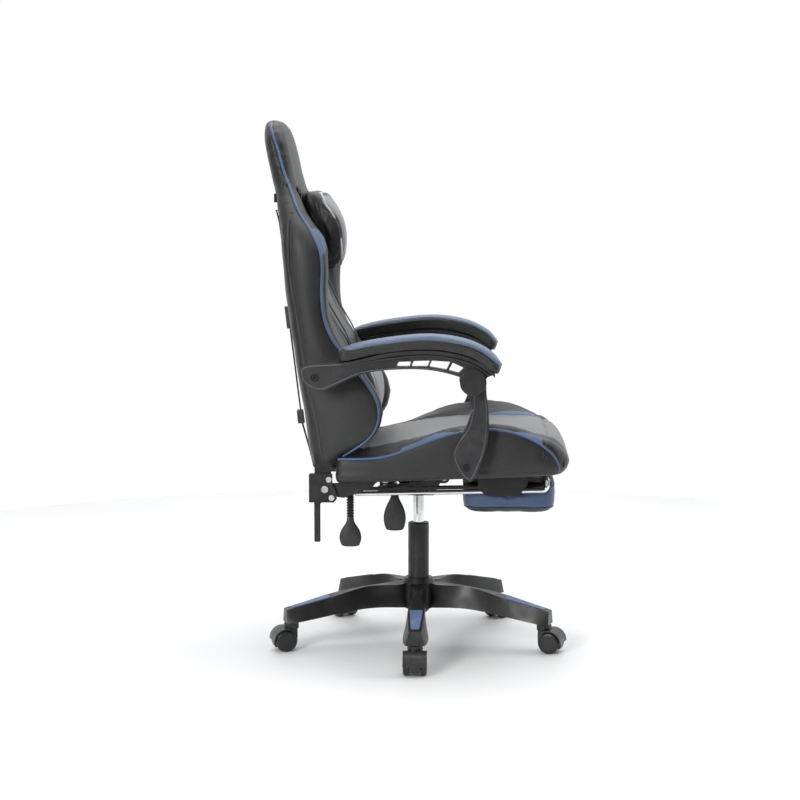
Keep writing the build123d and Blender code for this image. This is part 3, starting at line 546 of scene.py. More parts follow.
ARM_PLASTIC = moulded("arm_plastic", (0.020, 0.020, 0.0215), 0.42)
BASE_PLASTIC = moulded("base_plastic", (0.011, 0.011, 0.012), 0.38)
WHEEL_PLASTIC = moulded("wheel_plastic", (0.012, 0.012, 0.013), 0.34)
INSERT_PLASTIC = moulded("insert_plastic", (0.085, 0.150, 0.270), 0.5, mottle=(0.135, 0.205, 0.340))
CHROME = polished("chrome_plate", (0.80, 0.81, 0.82), 0.09)
BLACK_STEEL = coated_steel("black_powder_coat", (0.010, 0.010, 0.011), 0.40)
STEEL = bare_steel("plated_steel")
BOARD = plywood("seat_plywood")
RUBBER = moulded("sleeve_rubber", (0.012, 0.012, 0.013), 0.62)
# Painted highlight: a lighter copy of the arms' black plastic, for the light caught along the moulded ribs.
RIB_HIGHLIGHT_PLASTIC = moulded("arm_rib_highlight_plastic", (0.085, 0.085, 0.090), 0.34)
BLACK_SCREW = coated_steel("black_oxide", (0.002, 0.002, 0.002), 0.6)

SOFT_EDGED = ("arm_left", "arm_right", "arm_post_left", "arm_post_right")


def finish_node(name, surface):
    """Gives a CAD node its material."""
    slots = NODES[name].data.materials
    slots.clear()
    slots.append(surface)


def finish_cad_nodes():
    """Materials for the CAD pieces that stay in view."""
    groups = (
        (BASE_PLASTIC, ("star_base",)),
        (INSERT_PLASTIC, ("base_inserts",)),
        (CHROME, ("lift_cylinder", "footrest_rails")),
        (BLACK_STEEL, (
            "lift_outer_tube", "mechanism_housing", "mechanism_frame", "seat_brackets", "back_brackets",
            "footrest_guides", "back_frame", "footrest_hinge", "recline_lever", "tilt_lever_rod",
            "height_lever_rod",
        )),
        (BLACK_SCREW, ("arm_rear_bolts", "arm_front_bolts")),
        (STEEL, (
            "caster_stems", "lift_bearing", "lift_rod", "tilt_pin", "tilt_spring", "seat_bolts",
            "recliner_pins", "recliner_bolts",
        )),
        (ARM_PLASTIC, (
            "lift_bushing", "height_lever_paddle", "tilt_lever_sleeve", "tilt_lever_paddle", "arm_left",
            "arm_right", "arm_disc_left", "arm_disc_right", "arm_post_left", "arm_post_right",
            "strap_buckles",
        )),
        (BOARD, ("seat_board",)),
        (WEBBING, ("elastic_straps",)),
    )
    for surface, names in groups:
        for name in names:
            finish_node(name, surface)
    for name in SOFT_EDGED:
        modifier = NODES[name].modifiers.new("Bevel", "BEVEL")
        modifier.width = 0.0014
        modifier.segments = 2
        modifier.miter_outer = "MITER_ARC"
        modifier.limit_method = "ANGLE"
        modifier.angle_limit = math.radians(35)
    for number in range(1, 6):
        finish_node(f"caster_{number}_housing", WHEEL_PLASTIC)
        finish_node(f"caster_{number}_wheels", WHEEL_PLASTIC)
        finish_node(f"caster_{number}_axle", STEEL)


# ---------------------------------------------------------------- back
# Height; half width; then how far behind the lift: rear face, side piping, wing's front, middle's front.
BACK_ROWS = (
    (0.443, 0.214, 0.233, 0.194, 0.192, 0.193),
    (0.462, 0.230, 0.236, 0.183, 0.180, 0.187),
    (0.491, 0.243, 0.240, 0.141, 0.139, 0.166),
    (0.525, 0.250, 0.243, 0.098, 0.095, 0.155),
    (0.551, 0.254, 0.246, 0.083, 0.080, 0.153),
    (0.577, 0.256, 0.249, 0.078, 0.075, 0.153),
    (0.610, 0.257, 0.255, 0.084, 0.081, 0.153),
    (0.645, 0.258, 0.261, 0.104, 0.101, 0.153),
    (0.690, 0.258, 0.268, 0.138, 0.135, 0.153),
    (0.731, 0.258, 0.273, 0.171, 0.167, 0.163),
    (0.763, 0.258, 0.279, 0.190, 0.186, 0.183),
    (0.806, 0.260, 0.284, 0.203, 0.199, 0.208),
    (0.860, 0.264, 0.291, 0.206, 0.202, 0.230),
    (0.905, 0.267, 0.294, 0.203, 0.200, 0.242),
    (0.945, 0.266, 0.298, 0.207, 0.201, 0.248),
    (0.970, 0.260, 0.300, 0.218, 0.207, 0.253),
    (0.996, 0.249, 0.303, 0.232, 0.221, 0.258),
    (1.023, 0.228, 0.309, 0.254, 0.241, 0.262),
    (1.052, 0.203, 0.317, 0.270, 0.256, 0.266),
    (1.083, 0.176, 0.323, 0.282, 0.271, 0.273),
    (1.116, 0.160, 0.330, 0.297, 0.284, 0.284),
    (1.157, 0.151, 0.339, 0.311, 0.292, 0.292),
    (1.192, 0.146, 0.346, 0.323, 0.300, 0.300),
    (1.214, 0.134, 0.348, 0.331, 0.307, 0.306),
    (1.232, 0.112, 0.347, 0.336, 0.316, 0.315),
    (1.241, 0.080, 0.345, 0.338, 0.325, 0.324),
    (1.2445, 0.030, 0.341, 0.337, 0.333, 0.333),
)
# Height, and how far behind the lift the seam between the side panel and the rear panel runs.
BACK_SIDE_SEAM = (
    (0.443, 0.203), (0.495, 0.213), (0.542, 0.219), (0.588, 0.228), (0.626, 0.238), (0.780, 0.262),
    (0.938, 0.284), (0.995, 0.285), (1.024, 0.281), (1.048, 0.270), (1.051, 0.262),
)
BACK_TOP = BACK_ROWS[-1][0]
WELL_HALF_WIDTH = 0.158
WELL_SEAM = 0.014  # from the middle's edge out to the seam beside the wing
REAR_SEAM_HEIGHT = 0.975
HOLE_MIDDLE = (0.125, 1.058)
HOLE_HALF_SIZE = (0.025, 0.028)


def whole_ring(first, one_side, last):
    """A ring right round, from its points on one side and the two in the middle."""
    mirrored = [(-x, other) for x, other in reversed(one_side)]
    return through([first, *one_side, last, *mirrored], 110, closed=True)


def back_ring(half, rear, pipe, front, well):
    """The back's outline at one height, right round, as (x, y)."""
    well_half = min(WELL_HALF_WIDTH, half * 0.72)
    one_side = (
        (0.55 * half, rear + 0.007),
        (0.85 * half, rear + 0.002),
        (half - 0.011, rear - 0.005),
        (half - 0.004, rear - 0.018),
        (half + 0.007, 0.5 * (rear + pipe)),
        (half + 0.001, pipe + 0.012),
        (half - 0.004, pipe - 0.001),
        (half * 0.950, pipe + 0.50 * (front - pipe)),
        (half * 0.880, front + 0.002),
        (half * 0.810, front),
        (0.5 * (half * 0.78 + well_half), 0.62 * front + 0.38 * well),
        (well_half, well),
        (0.5 * well_half, well - 0.003),
    )
    return whole_ring((0, rear + 0.009), one_side, (0, well - 0.004))


def cut_strap_holes(piece):
    """Two rounded slots right through, for the pillow's strap."""
    for side in (-1, 1):
        (x, z), (wide, high) = HOLE_MIDDLE, HOLE_HALF_SIZE
        shape = [
            (side * x + wide * squared(math.cos(turn), 0.55), z + high * squared(math.sin(turn), 0.55))
            for turn in turns(40)
        ]
        cutter = loft("strap_hole_cutter", [[(a, y, b) for a, b in shape] for y in (0.15, 0.45)])
        modifier = piece.modifiers.new("Hole", "BOOLEAN")
        modifier.operation = "DIFFERENCE"
        modifier.object = cutter
        apply_modifiers(piece)
        bpy.data.objects.remove(cutter)


def back_distances(where):
    """How far each place on the back is from each seam."""
    x, y, z = where.T
    half, rear, pipe, front, well = smooth(BACK_ROWS, z).T
    across = np.abs(x)
    on_side = across > half - 0.022
    far = np.full(len(x), 0.1)
    pipe_gap = np.where(on_side, np.abs(y - pipe), far)
    side_seam = smooth(BACK_SIDE_SEAM, z)[:, 0]
    side_gap = np.where(on_side & (y > pipe) & (z < 1.03), np.abs(y - side_seam), far)
    well_half = np.minimum(WELL_HALF_WIDTH, half * 0.72) + WELL_SEAM
    in_front = y < 0.5 * (rear + np.minimum(front, well))
    wing_gap = np.where(in_front & (z < 1.10) & (across < half - 0.03), np.abs(across - well_half), far)
    middle_gap = np.where(in_front & (z < 1.0) & (across < 0.12), np.abs(across - 0.082), far)
    rear_gap = np.where(~in_front & (across < half - 0.02), np.abs(z - REAR_SEAM_HEIGHT), far)
    return pipe_gap, side_gap, wing_gap, middle_gap, rear_gap


def build_back():
    """The back cushion: side panels, rolled wings, a middle, the head, and slots for the pillow's strap."""
    heights = np.concatenate((np.linspace(BACK_ROWS[0][0], 1.19, 84), np.linspace(1.196, BACK_TOP, 18)))
    rings = []
    for height, row in zip(heights, smooth(BACK_ROWS, heights)):
        rings.append([(x, y, height) for x, y in back_ring(*row)])
    piece = loft("back_cover", rings)
    cut_strap_holes(piece)
    remesh(piece, 0.0075)
    relax(piece, 3)
    inflate(piece, 4.0, 0.0028)
    relax(piece, 1)
    subdivide(piece)
    where = places(piece)
    pipe_gap, side_gap, wing_gap, middle_gap, rear_gap = back_distances(where)
    for gap, depth, width in (
        (pipe_gap, 0.003, 0.006), (side_gap, 0.0018, 0.004), (wing_gap, 0.003, 0.006),
        (middle_gap, 0.0016, 0.004), (rear_gap, 0.0015, 0.004),
    ):
        groove(piece, gap, depth, width)
    x, y, z = where.T
    pipe = smooth(BACK_ROWS, z)[:, 2]
    wrinkles(piece, pipe_gap, (z > 1.14) & (y < pipe), 0.0016)
    ahead = pipe - y
    blue = np.minimum.reduce((
        ahead + 0.002, 0.998 - z - 0.6 * ahead, (z - 0.938) * 0.5 - ahead,
        np.abs(x) - WELL_HALF_WIDTH - WELL_SEAM,
    ))
    store(piece, "blue", blue)
    store(piece, "panel", np.full(len(x), -0.1))
    # Painted shade: the rear panel, behind the side seam and below the rear seam, is coloured darker.
    store(piece, "rear", np.minimum(y - smooth(BACK_SIDE_SEAM, z)[:, 0], REAR_SEAM_HEIGHT - z))
    store(piece, "seam", np.minimum.reduce((side_gap, wing_gap, middle_gap, rear_gap)))
    store(piece, "along", np.where(rear_gap < 0.01, x, z))
    dress(piece, SEAMED_COVER, "back", "back_cushion")
    pipe_back(piece)


def wrinkles(piece, gap, chosen, depth):
    """Short gathers that run out from a seam."""
    where = places(piece)
    reach = np.exp(-np.abs(gap) / 0.022) * chosen
    fold = np.sin(where[:, 2] * 330 + 2.2 * np.sin(where[:, 2] * 61)) * 0.6 + 0.4 * wave(where, 70)
    swell(piece, depth * reach * fold)


def pipe_back(cover):
    """Blue piping up one side, over the top and down the other."""
    tree = surface_of(cover)
    heights = np.concatenate((np.linspace(0.476, 1.2, 90), np.linspace(1.205, 1.242, 12)))
    rows = smooth(BACK_ROWS, heights)
    side = [(row[0] - 0.002, row[2], height) for height, row in zip(heights, rows)]
    over = side + [(-x, y, z) for x, y, z in reversed(side)]
    route = laid_on(tree, over, 0.0008)
    tube("back_piping", route, 0.0034, BLUE_PIPING, "back")


# ---------------------------------------------------------------- seat
# Forward; half width; then heights: underside, side piping, top of the wing, top of the middle.
SEAT_ROWS = (
    (-0.184, 0.246, 0.4190, 0.480, 0.481, 0.481),
    (-0.176, 0.254, 0.4186, 0.483, 0.484, 0.485),
    (-0.142, 0.260, 0.4196, 0.483, 0.486, 0.488),
    (-0.089, 0.262, 0.4222, 0.486, 0.491, 0.494),
    (-0.052, 0.262, 0.4237, 0.494, 0.500, 0.503),
    (-0.014, 0.262, 0.4253, 0.508, 0.513, 0.510),
    (0.023, 0.262, 0.4268, 0.523, 0.528, 0.516),
    (0.060, 0.262, 0.4283, 0.536, 0.541, 0.520),
    (0.090, 0.262, 0.4295, 0.543, 0.548, 0.523),
    (0.125, 0.262, 0.4309, 0.548, 0.553, 0.525),
    (0.165, 0.262, 0.4325, 0.551, 0.556, 0.525),
    (0.207, 0.262, 0.4342, 0.547, 0.553, 0.524),
    (0.240, 0.261, 0.4355, 0.537, 0.545, 0.524),
    (0.266, 0.260, 0.4366, 0.526, 0.536, 0.524),
    (0.292, 0.258, 0.4376, 0.510, 0.525, 0.522),
    (0.313, 0.253, 0.4384, 0.490, 0.516, 0.518),
    (0.327, 0.245, 0.4410, 0.468, 0.506, 0.511),
    (0.339, 0.232, 0.4455, 0.464, 0.494, 0.499),
    (0.347, 0.214, 0.4515, 0.466, 0.483, 0.487),
    (0.3525, 0.185, 0.4600, 0.468, 0.472, 0.476),
)
SEAT_REAR, SEAT_FRONT = SEAT_ROWS[0][0], SEAT_ROWS[-1][0]
SEAT_WELL_HALF = 0.158


def seat_ring(half, under, pipe, wing, well):
    """The seat's outline at one place along it, right round, as (x, z)."""
    well_half = min(SEAT_WELL_HALF, half * 0.62)
    one_side = (
        (0.5 * half, under),
        (0.88 * half, under),
        (half - 0.006, under + 0.004),
        (half + 0.001, under + 0.016),
        (half + 0.003, 0.5 * (under + pipe)),
        (half + 0.001, pipe - 0.010),
        (half - 0.003, pipe + 0.001),
        (half * 0.965, pipe + 0.75 * (wing - pipe)),
        (half * 0.915, wing),
        (half * 0.840, wing - 0.005),
        (0.5 * (half * 0.82 + well_half), 0.45 * wing + 0.55 * well),
        (well_half, well),
        (0.5 * well_half, well + 0.003),
    )
    return whole_ring((0, under), one_side, (0, well + 0.004))


def build_seat():
    """The seat cushion: side panels under blue piping, rolled wings and a lower middle."""
    along = np.concatenate((np.linspace(SEAT_REAR, 0.30, 70), np.linspace(0.304, SEAT_FRONT, 18)))
    rings = []
    for forward, row in zip(along, smooth(SEAT_ROWS, along)):
        rings.append([(x, -forward, z) for x, z in seat_ring(*row)])
    piece = loft("seat_cover", rings)
    remesh(piece, 0.0075)
    relax(piece, 3)
    inflate(piece, 4.0, 0.004, held=lambda where: (where[:, 2] < 0.445) * 1.0)
    relax(piece, 1)
    subdivide(piece)
    where = places(piece)
    x, forward, z = where[:, 0], -where[:, 1], where[:, 2]
    half, under, pipe, wing, well = smooth(SEAT_ROWS, forward).T
    across = np.abs(x)
    far = np.full(len(x), 0.1)
    pipe_gap = np.where((across > half - 0.03) & (forward < 0.335), np.abs(z - pipe), far)
    on_top = z > 0.5 * (under + np.minimum(wing, well))
    wing_gap = np.where(on_top & (forward < 0.30), np.abs(across - SEAT_WELL_HALF - 0.010), far)
    cross_gap = np.where(on_top & (across < SEAT_WELL_HALF + 0.010), np.abs(forward - 0.300), far)
    front_gap = np.where((across > SEAT_WELL_HALF) & on_top, np.abs(forward - 0.290), far)
    for gap, depth in ((pipe_gap, 0.003), (wing_gap, 0.0035), (cross_gap, 0.003), (front_gap, 0.0015)):
        groove(piece, gap, depth, 0.006)
    wrinkles_seat(piece, wing_gap)
    blue = seat_patches(forward, across, half - 0.003 - across, z - pipe + 0.002)
    store(piece, "blue", np.where(on_top, blue, -0.1))
    # Painted sheen: the seat's middle and front are coloured a lighter grey.
    store(piece, "panel", np.where(on_top | (forward > 0.3), SEAT_WELL_HALF + 0.008 - across, -0.1))
    store(piece, "rear", np.full(len(x), -0.1))
    store(piece, "seam", np.minimum.reduce((wing_gap, cross_gap, front_gap)))
    store(piece, "along", np.where(np.minimum(cross_gap, front_gap) < 0.01, x, forward))
    dress(piece, SEAMED_COVER, "seat", "seat_cushion")
    pipe_seat(piece)


def seat_patches(forward, across, edge, over_pipe):
    """Positive on the blue patches: two beside each wing's piping and a strip along the middle's edge."""
    rear_patch = np.minimum.reduce((
        0.7 * (forward + 0.050) - edge, 0.30 * (0.112 - forward) - edge, 0.020 - edge, over_pipe,
    ))
    front_patch = np.minimum.reduce((
        0.30 * (forward - 0.205) - edge, 0.286 - forward, 0.017 - edge, over_pipe,
    ))
    inner_strip = np.minimum.reduce((
        forward - 0.150, 0.280 - forward, across - SEAT_WELL_HALF + 0.002,
        SEAT_WELL_HALF + 0.011 + 0.16 * (forward - 0.150) - across,
    ))
    return np.maximum.reduce((rear_patch, front_patch, inner_strip))


def wrinkles_seat(piece, gap):
    """Shallow pulls beside the seam between the wings and the middle."""
    y = places(piece)[:, 1]
    swell(piece, 0.0008 * np.sin(y * 210 + 2.5 * np.sin(y * 47)) * np.exp(-np.abs(gap) / 0.02))


def pipe_seat(cover):
    """Blue piping along the top of each side panel."""
    tree = surface_of(cover)
    along = np.linspace(-0.182, 0.329, 84)
    rows = smooth(SEAT_ROWS, along)
    for name, side in SIDES:
        route = [(side * (row[0] - 0.002), -forward, row[2]) for forward, row in zip(along, rows)]
        route.append((side * 0.244, -0.3295, 0.447))
        route = laid_on(tree, route, 0.0006)
        tube(f"seat_piping_{name}", route, 0.0029, BLUE_PIPING, "seat")


# ---------------------------------------------------------------- pillows
END_SIZE = 0.62  # a pillow's ends, as a part of its middle


def pillow_rings(profile, half_width, askew):
    """Rings across the chair of a side profile (forward, height) that closes in at both ends.
    askew turns the front face a little towards one end, as a loose pillow sits."""
    outline = through(profile, 90, closed=True)
    middle = outline.mean(axis=0)
    rings = []
    for part in np.linspace(-1, 1, 64):
        full = (1 - abs(part) ** 12) ** (1 / 4)
        size = END_SIZE + (1 - END_SIZE) * max(full, 0.02)
        x = part * half_width
        ring = middle + (outline - middle) * size
        front = np.clip((ring[:, 0] - middle[0]) / 0.03, 0, 1)
        rings.append([(x, askew * x * far - forward, height) for (forward, height), far in zip(ring, front)])
    return rings


HEAD_PROFILE = (
    (-0.2345, 0.897), (-0.2400, 0.940), (-0.2480, 0.990), (-0.2560, 1.040), (-0.2600, 1.070),
    (-0.2490, 1.0780), (-0.2310, 1.074), (-0.2060, 1.048), (-0.1860, 1.017), (-0.1770, 0.985),
    (-0.1755, 0.955), (-0.1790, 0.922), (-0.1900, 0.899), (-0.2080, 0.893),
)
LUMBAR_PROFILE = (
    (-0.1480, 0.545), (-0.1485, 0.585), (-0.1485, 0.640), (-0.1480, 0.684), (-0.1380, 0.690),
    (-0.1190, 0.678), (-0.1010, 0.650), (-0.0920, 0.617), (-0.0915, 0.582), (-0.0990, 0.553),
    (-0.1150, 0.541), (-0.1330, 0.539),
)


PANEL_BOTTOM = 0.010  # from the pillow's underside up to its front panel
PANEL_TOP = 0.006


def build_pillow(name, cad_node, body, profile, half_width, panel_inset, gathers, askew=0.0):
    """A stuffed pillow: a grey front panel inside a piped seam, black gathered sides."""
    piece = loft(name, pillow_rings(profile, half_width, askew))
    remesh(piece, 0.005)
    relax(piece, 2)
    middle = np.mean(profile, axis=0)
    inflate(piece, 5.0, 0.005, held=lambda where: (-where[:, 1] < middle[0] - 0.02) * 0.8)
    subdivide(piece)
    where = places(piece)
    x, forward, z = where[:, 0], -where[:, 1], where[:, 2]
    low, high = min(p[1] for p in profile), max(p[1] for p in profile)
    edge = np.minimum.reduce((
        half_width - panel_inset - np.abs(x), z - low - PANEL_BOTTOM, high - PANEL_TOP - z,
    ))
    front = forward - middle[0] + 0.002
    rim = np.where(front > 0, np.abs(edge), 0.1)
    groove(piece, rim, 0.002, 0.006)
    beyond = np.clip((np.abs(x) - half_width + 0.022) / 0.012, 0, 1)
    beyond = beyond * np.clip((front + 0.035) / 0.02, 0, 1)
    beyond = beyond * np.clip((rim - 0.003) / 0.012, 0, 1)
    turn = np.arctan2(z - middle[1], forward - middle[0])
    fold = np.sin(turn * gathers + 1.5 * np.sin(turn * 7)) * (0.5 + 0.5 * np.sin(turn * 13 + x * 60))
    swell(piece, 0.0024 * beyond * fold)
    store(piece, "panel", np.minimum(edge, front))
    store(piece, "seam", rim)
    store(piece, "along", x + z)
    dress(piece, PILLOW_COVER, body, cad_node)
    return piece


def pipe_pillow(cover, body, profile, across, radius):
    """White piping round a pillow's front panel, laid on it from the front."""
    tree = surface_of(cover)
    bottom = min(p[1] for p in profile) + PANEL_BOTTOM
    top = max(p[1] for p in profile) - PANEL_TOP
    reach = max(p[0] for p in profile) + 0.03
    route = []
    for turn in turns(120):
        height = 0.5 * (top + bottom) + 0.5 * (top - bottom) * squared(math.sin(turn), 0.35)
        start = Vector((across * squared(math.cos(turn), 0.35), -reach, height))
        hit, normal, _, _ = tree.ray_cast(start, Vector((0, 1, 0)))
        if hit is not None:
            route.append(hit + normal * 0.0005)
    route = evened(route, 5)
    tube(f"{cover.name}_piping", route, radius, WHITE_PIPING, body, closed=True)


# ---------------------------------------------------------------- footrest pad
def build_footrest():
    """The footrest's padded block: blue sides, a black rolled edge and a grey sole."""
    low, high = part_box("footrest_pad")
    centre = (low + high) / 2
    size = (high - low) / 2
    plan = squared(np.column_stack((np.cos(turns(120)), np.sin(turns(120)))), 0.28)
    rings = []
    for part in np.linspace(-1, 1, 40):
        power = 3.2 if part < 0 else 8
        inset = (0.020 if part < 0 else 0.010) * (1 - (1 - abs(part) ** power) ** (1 / power))
        spread = plan * (size.x - inset, size.y - inset)
        height = centre.z + part * size.z
        rings.append([(centre.x + x, centre.y + y, height) for x, y in spread])
    piece = loft("footrest_cover", rings)
    remesh(piece, 0.005)
    relax(piece, 4)
    inflate(piece, 4.0, 0.004, held=lambda where: (where[:, 2] > high.z - 0.004) * 1.0)
    subdivide(piece)
    where = places(piece)
    x, y, z = where.T
    side = np.maximum(np.abs(x - centre.x) - size.x, np.abs(y - centre.y) - size.y) + 0.022
    lower, upper = low.z + 0.004, high.z - 0.006
    bottom_gap = np.where(side > 0, np.abs(z - lower), 0.1)
    top_gap = np.where(side > 0, np.abs(z - upper), 0.1)
    groove(piece, bottom_gap, 0.0008, 0.004)
    groove(piece, top_gap, 0.0015, 0.004)
    store(piece, "blue", np.minimum.reduce((side, z - lower, upper - z)))
    store(piece, "panel", np.minimum(-side, centre.z - z))
    store(piece, "seam", np.minimum(bottom_gap, top_gap))
    store(piece, "along", x + y)
    dress(piece, FOOTREST_COVER, "footrest", "footrest_pad")
    tree = surface_of(piece)
    around = plan * (size.x + 0.002, size.y + 0.002)
    for level, name in ((lower, "footrest_lower_piping"), (upper, "footrest_upper_piping")):
        route = laid_on(tree, [(centre.x + a, centre.y + b, level) for a, b in around], 0.0003)
        tube(name, route, 0.0017, BLACK_PIPING, "footrest", closed=True)


# ---------------------------------------------------------------- armrests
ARM_CROWN = ((-0.158, 0.703), (-0.086, 0.719), (0.025, 0.730), (0.117, 0.715), (0.176, 0.678))
PAD_UNDER = (
    (-0.170, 0.713), (-0.158, 0.7035), (-0.086, 0.7195), (0.025, 0.7305), (0.117, 0.7155), (0.176, 0.6785),
    (0.186, 0.682),
)
PAD_OVER = (
    (-0.172, 0.722), (-0.162, 0.733), (-0.087, 0.751), (0.024, 0.763), (0.108, 0.753), (0.165, 0.727),
    (0.193, 0.696),
)
PAD_INNER, PAD_OUTER = 0.262, 0.337
PAD_MIDDLE = (PAD_INNER + PAD_OUTER) / 2


def seam_part(forward, outward):
    """How far up the pad's side the cover's seam runs: higher inside, and over the top at the rear end."""
    base = np.where(outward, 0.68, 0.82)
    return np.minimum(base + 0.5 * np.clip((-0.135 - forward) / 0.03, 0, 1) ** 2, 1.0)


def seam_height(forward, outward):
    """How high the pad's seam runs."""
    low = smooth(PAD_UNDER[1:6], forward)[:, 0]
    high = smooth(PAD_OVER, forward)[:, 0]
    return low + (high - low) * seam_part(forward, outward)


def on_the_arm(where):
    """1 where the pad's cover lies on the arm moulding, else 0."""
    return (where[:, 2] < smooth(ARM_CROWN, -where[:, 1])[:, 0] + 0.006) * 1.0


def pad_rings(side):
    """Rings along the pad, square-shouldered, with rounded ends."""
    under = through(PAD_UNDER, 70)
    over = through(PAD_OVER, 70)
    half = (PAD_OUTER - PAD_INNER) / 2
    rings = []
    for part, low, high in zip(np.linspace(0, 1, 70), under, over):
        ends = min(part, 1 - part) * 0.37 / 0.022
        wide = half * (1 - max(0, 1 - ends) ** 2.4) ** 0.42 if ends < 1 else half
        ring = []
        for turn in turns(56):
            x = PAD_MIDDLE + max(wide, 0.004) * squared(math.cos(turn), 0.45)
            lift = 0.5 + 0.5 * squared(math.sin(turn), 0.55 if math.sin(turn) > 0 else 0.3)
            forward, height = low + (high - low) * lift
            ring.append((side * x, -forward, height))
        rings.append(ring)
    return rings


def build_arm_pad(name, side):
    """A padded armrest: a blue top cover over a black band, sewn together round its edge."""
    piece = loft(f"arm_pad_cover_{name}", pad_rings(side))
    remesh(piece, 0.004)
    relax(piece, 2)
    inflate(piece, 4.0, 0.0018, held=on_the_arm)
    subdivide(piece)
    where = places(piece)
    forward = -where[:, 1]
    edge = where[:, 2] - seam_height(forward, side * where[:, 0] > PAD_MIDDLE)
    groove(piece, edge, 0.0012, 0.003)
    store(piece, "blue", edge)
    store(piece, "seam", np.abs(edge))
    store(piece, "along", forward)
    dress(piece, PAD_COVER, f"arm_{name}", f"arm_pad_{name}")
    pipe_arm_pad(piece, name, side)


def pipe_arm_pad(cover, name, side):
    """Black piping along the pad's seam: forwards outside and back again inside."""
    stations = np.linspace(-0.166, 0.186, 60)
    outside = [(side * (PAD_OUTER + 0.003), -y, z) for y, z in zip(stations, seam_height(stations, True))]
    inside = [(side * (PAD_INNER - 0.003), -y, z) for y, z in zip(stations, seam_height(stations, False))]
    route = laid_on(surface_of(cover), outside + inside[::-1], 0.0002)
    tube(f"arm_pad_piping_{name}", route, 0.0013, BLACK_PIPING, f"arm_{name}", closed=True)


ARM_RIB = (
    (0.090, 0.676), (0.039, 0.689), (-0.042, 0.691), (-0.115, 0.682), (-0.150, 0.669), (-0.183, 0.654),
    (-0.210, 0.645), (-0.237, 0.654), (-0.2505, 0.676), (-0.244, 0.692), (-0.196, 0.6965), (-0.160, 0.699),
)
POST_RIB = (
    (0.131, 0.628), (0.1295, 0.592), (0.119, 0.553), (0.097, 0.522), (0.0885, 0.494), (0.098, 0.463),
    (0.121, 0.439), (0.138, 0.468), (0.1535, 0.516), (0.1580, 0.587), (0.1535, 0.636),
)
WEB_OUTER = 0.327  # the arm's outer face, from the chair's middle
POST_OUTER = 0.297
RIDGE_DROP = 0.0115


def build_arm_details(name, side):
    """Raised ribs round the arm's web and post, and the ridge under the pad."""
    ridge = [(f, height - RIDGE_DROP) for f, height in through(ARM_CROWN, 50) if f < 0.168]
    strands = (
        # The ribs wear the lighter plastic, a painted highlight along the moulding's edges.
        ("arm_rib", through(ARM_RIB, 60), WEB_OUTER + 0.0002, 0.0013, RIB_HIGHLIGHT_PLASTIC, "arm"),
        ("post_rib", through(POST_RIB, 50), POST_OUTER + 0.0002, 0.0013, RIB_HIGHLIGHT_PLASTIC, "post"),
        ("arm_ridge", ridge, WEB_OUTER + 0.0005, 0.0032, ARM_PLASTIC, "arm"),
    )
    for strand, knots, outer, radius, surface, body in strands:
        route = [(side * outer, -forward, height) for forward, height in knots]
        tube(f"{strand}_{name}", route, radius, surface, f"{body}_{name}")


def build_sleeve():
    """The corrugated rubber over the tilt lever's rod."""
    low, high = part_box("tilt_lever_sleeve")
    centre = (low + high) / 2
    radius = (high.x - low.x) / 2
    ribs = 8
    rings = []
    for part in np.linspace(0, 1, 15 * ribs + 1):
        reach = radius * (0.84 + 0.16 * math.cos(part * 2 * math.pi * ribs))
        level = low.z + part * (high.z - low.z)
        rings.append([
            (centre.x + reach * math.cos(turn), centre.y + reach * math.sin(turn), level)
            for turn in turns(32)
        ])
    piece = loft("tilt_sleeve_ribs", rings)
    dress(piece, RUBBER, "tilt_lever", "tilt_lever_sleeve")


# Across and up, as parts of the paddle's box.
PADDLE_OUTLINE = (
    (0.38, 1.00), (0.31, 0.80), (0.10, 0.55), (0.01, 0.30), (0.10, 0.06), (0.28, 0.00),
    (0.72, 0.00), (0.90, 0.06), (0.99, 0.30), (0.90, 0.55), (0.69, 0.80), (0.62, 1.00),
)
# How far through the paddle, and how big its outline is there.
PADDLE_SECTIONS = ((0, 0.84), (0.10, 0.93), (0.25, 0.985), (0.5, 1.0), (0.75, 0.985), (0.90, 0.93), (1, 0.84))


def build_paddle(name, body):
    """A lever's paddle: a rounded blade with soft edges."""
    low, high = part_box(name)
    size = high - low
    outline = through(PADDLE_OUTLINE, 72, closed=True) - 0.5
    rings = []
    for across, spread in PADDLE_SECTIONS:
        x = low.x + across * size.x
        rings.append([
            (x, low.y + (0.5 + u * spread) * size.y, low.z + (0.5 + v * spread) * size.z) for u, v in outline
        ])
    piece = loft(f"{name}_blade", rings)
    dress(piece, ARM_PLASTIC, body, name)


def build_spring():
    """The coil spring between the fixed housing and the tilting plate, built at one length; the real one
    shortens as the seat rocks back.
    """
    low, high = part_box("tilt_spring")
    centre = (low + high) / 2
    tall = high.z - low.z
    wire, coils = 0.0022, 6
    radius = (high.x - low.x) / 2 - wire
    rings = []
    for part in np.linspace(0, 1, 24 * coils + 1):
        angle = 2 * math.pi * coils * part
        outward = np.array([math.cos(angle), math.sin(angle), 0])
        middle = np.array([centre.x, centre.y, low.z + wire + part * (tall - 2 * wire)]) + radius * outward
        rings.append([
            middle + wire * (math.cos(a) * outward + math.sin(a) * np.array([0, 0, 1]))
            for a in turns(10)
        ])
    piece = loft("tilt_spring_coil", rings)
    dress(piece, STEEL, "column", "tilt_spring")
    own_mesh(piece)


# ---------------------------------------------------------------- light, floor and camera
FLOOR_RADIUS = 2.3


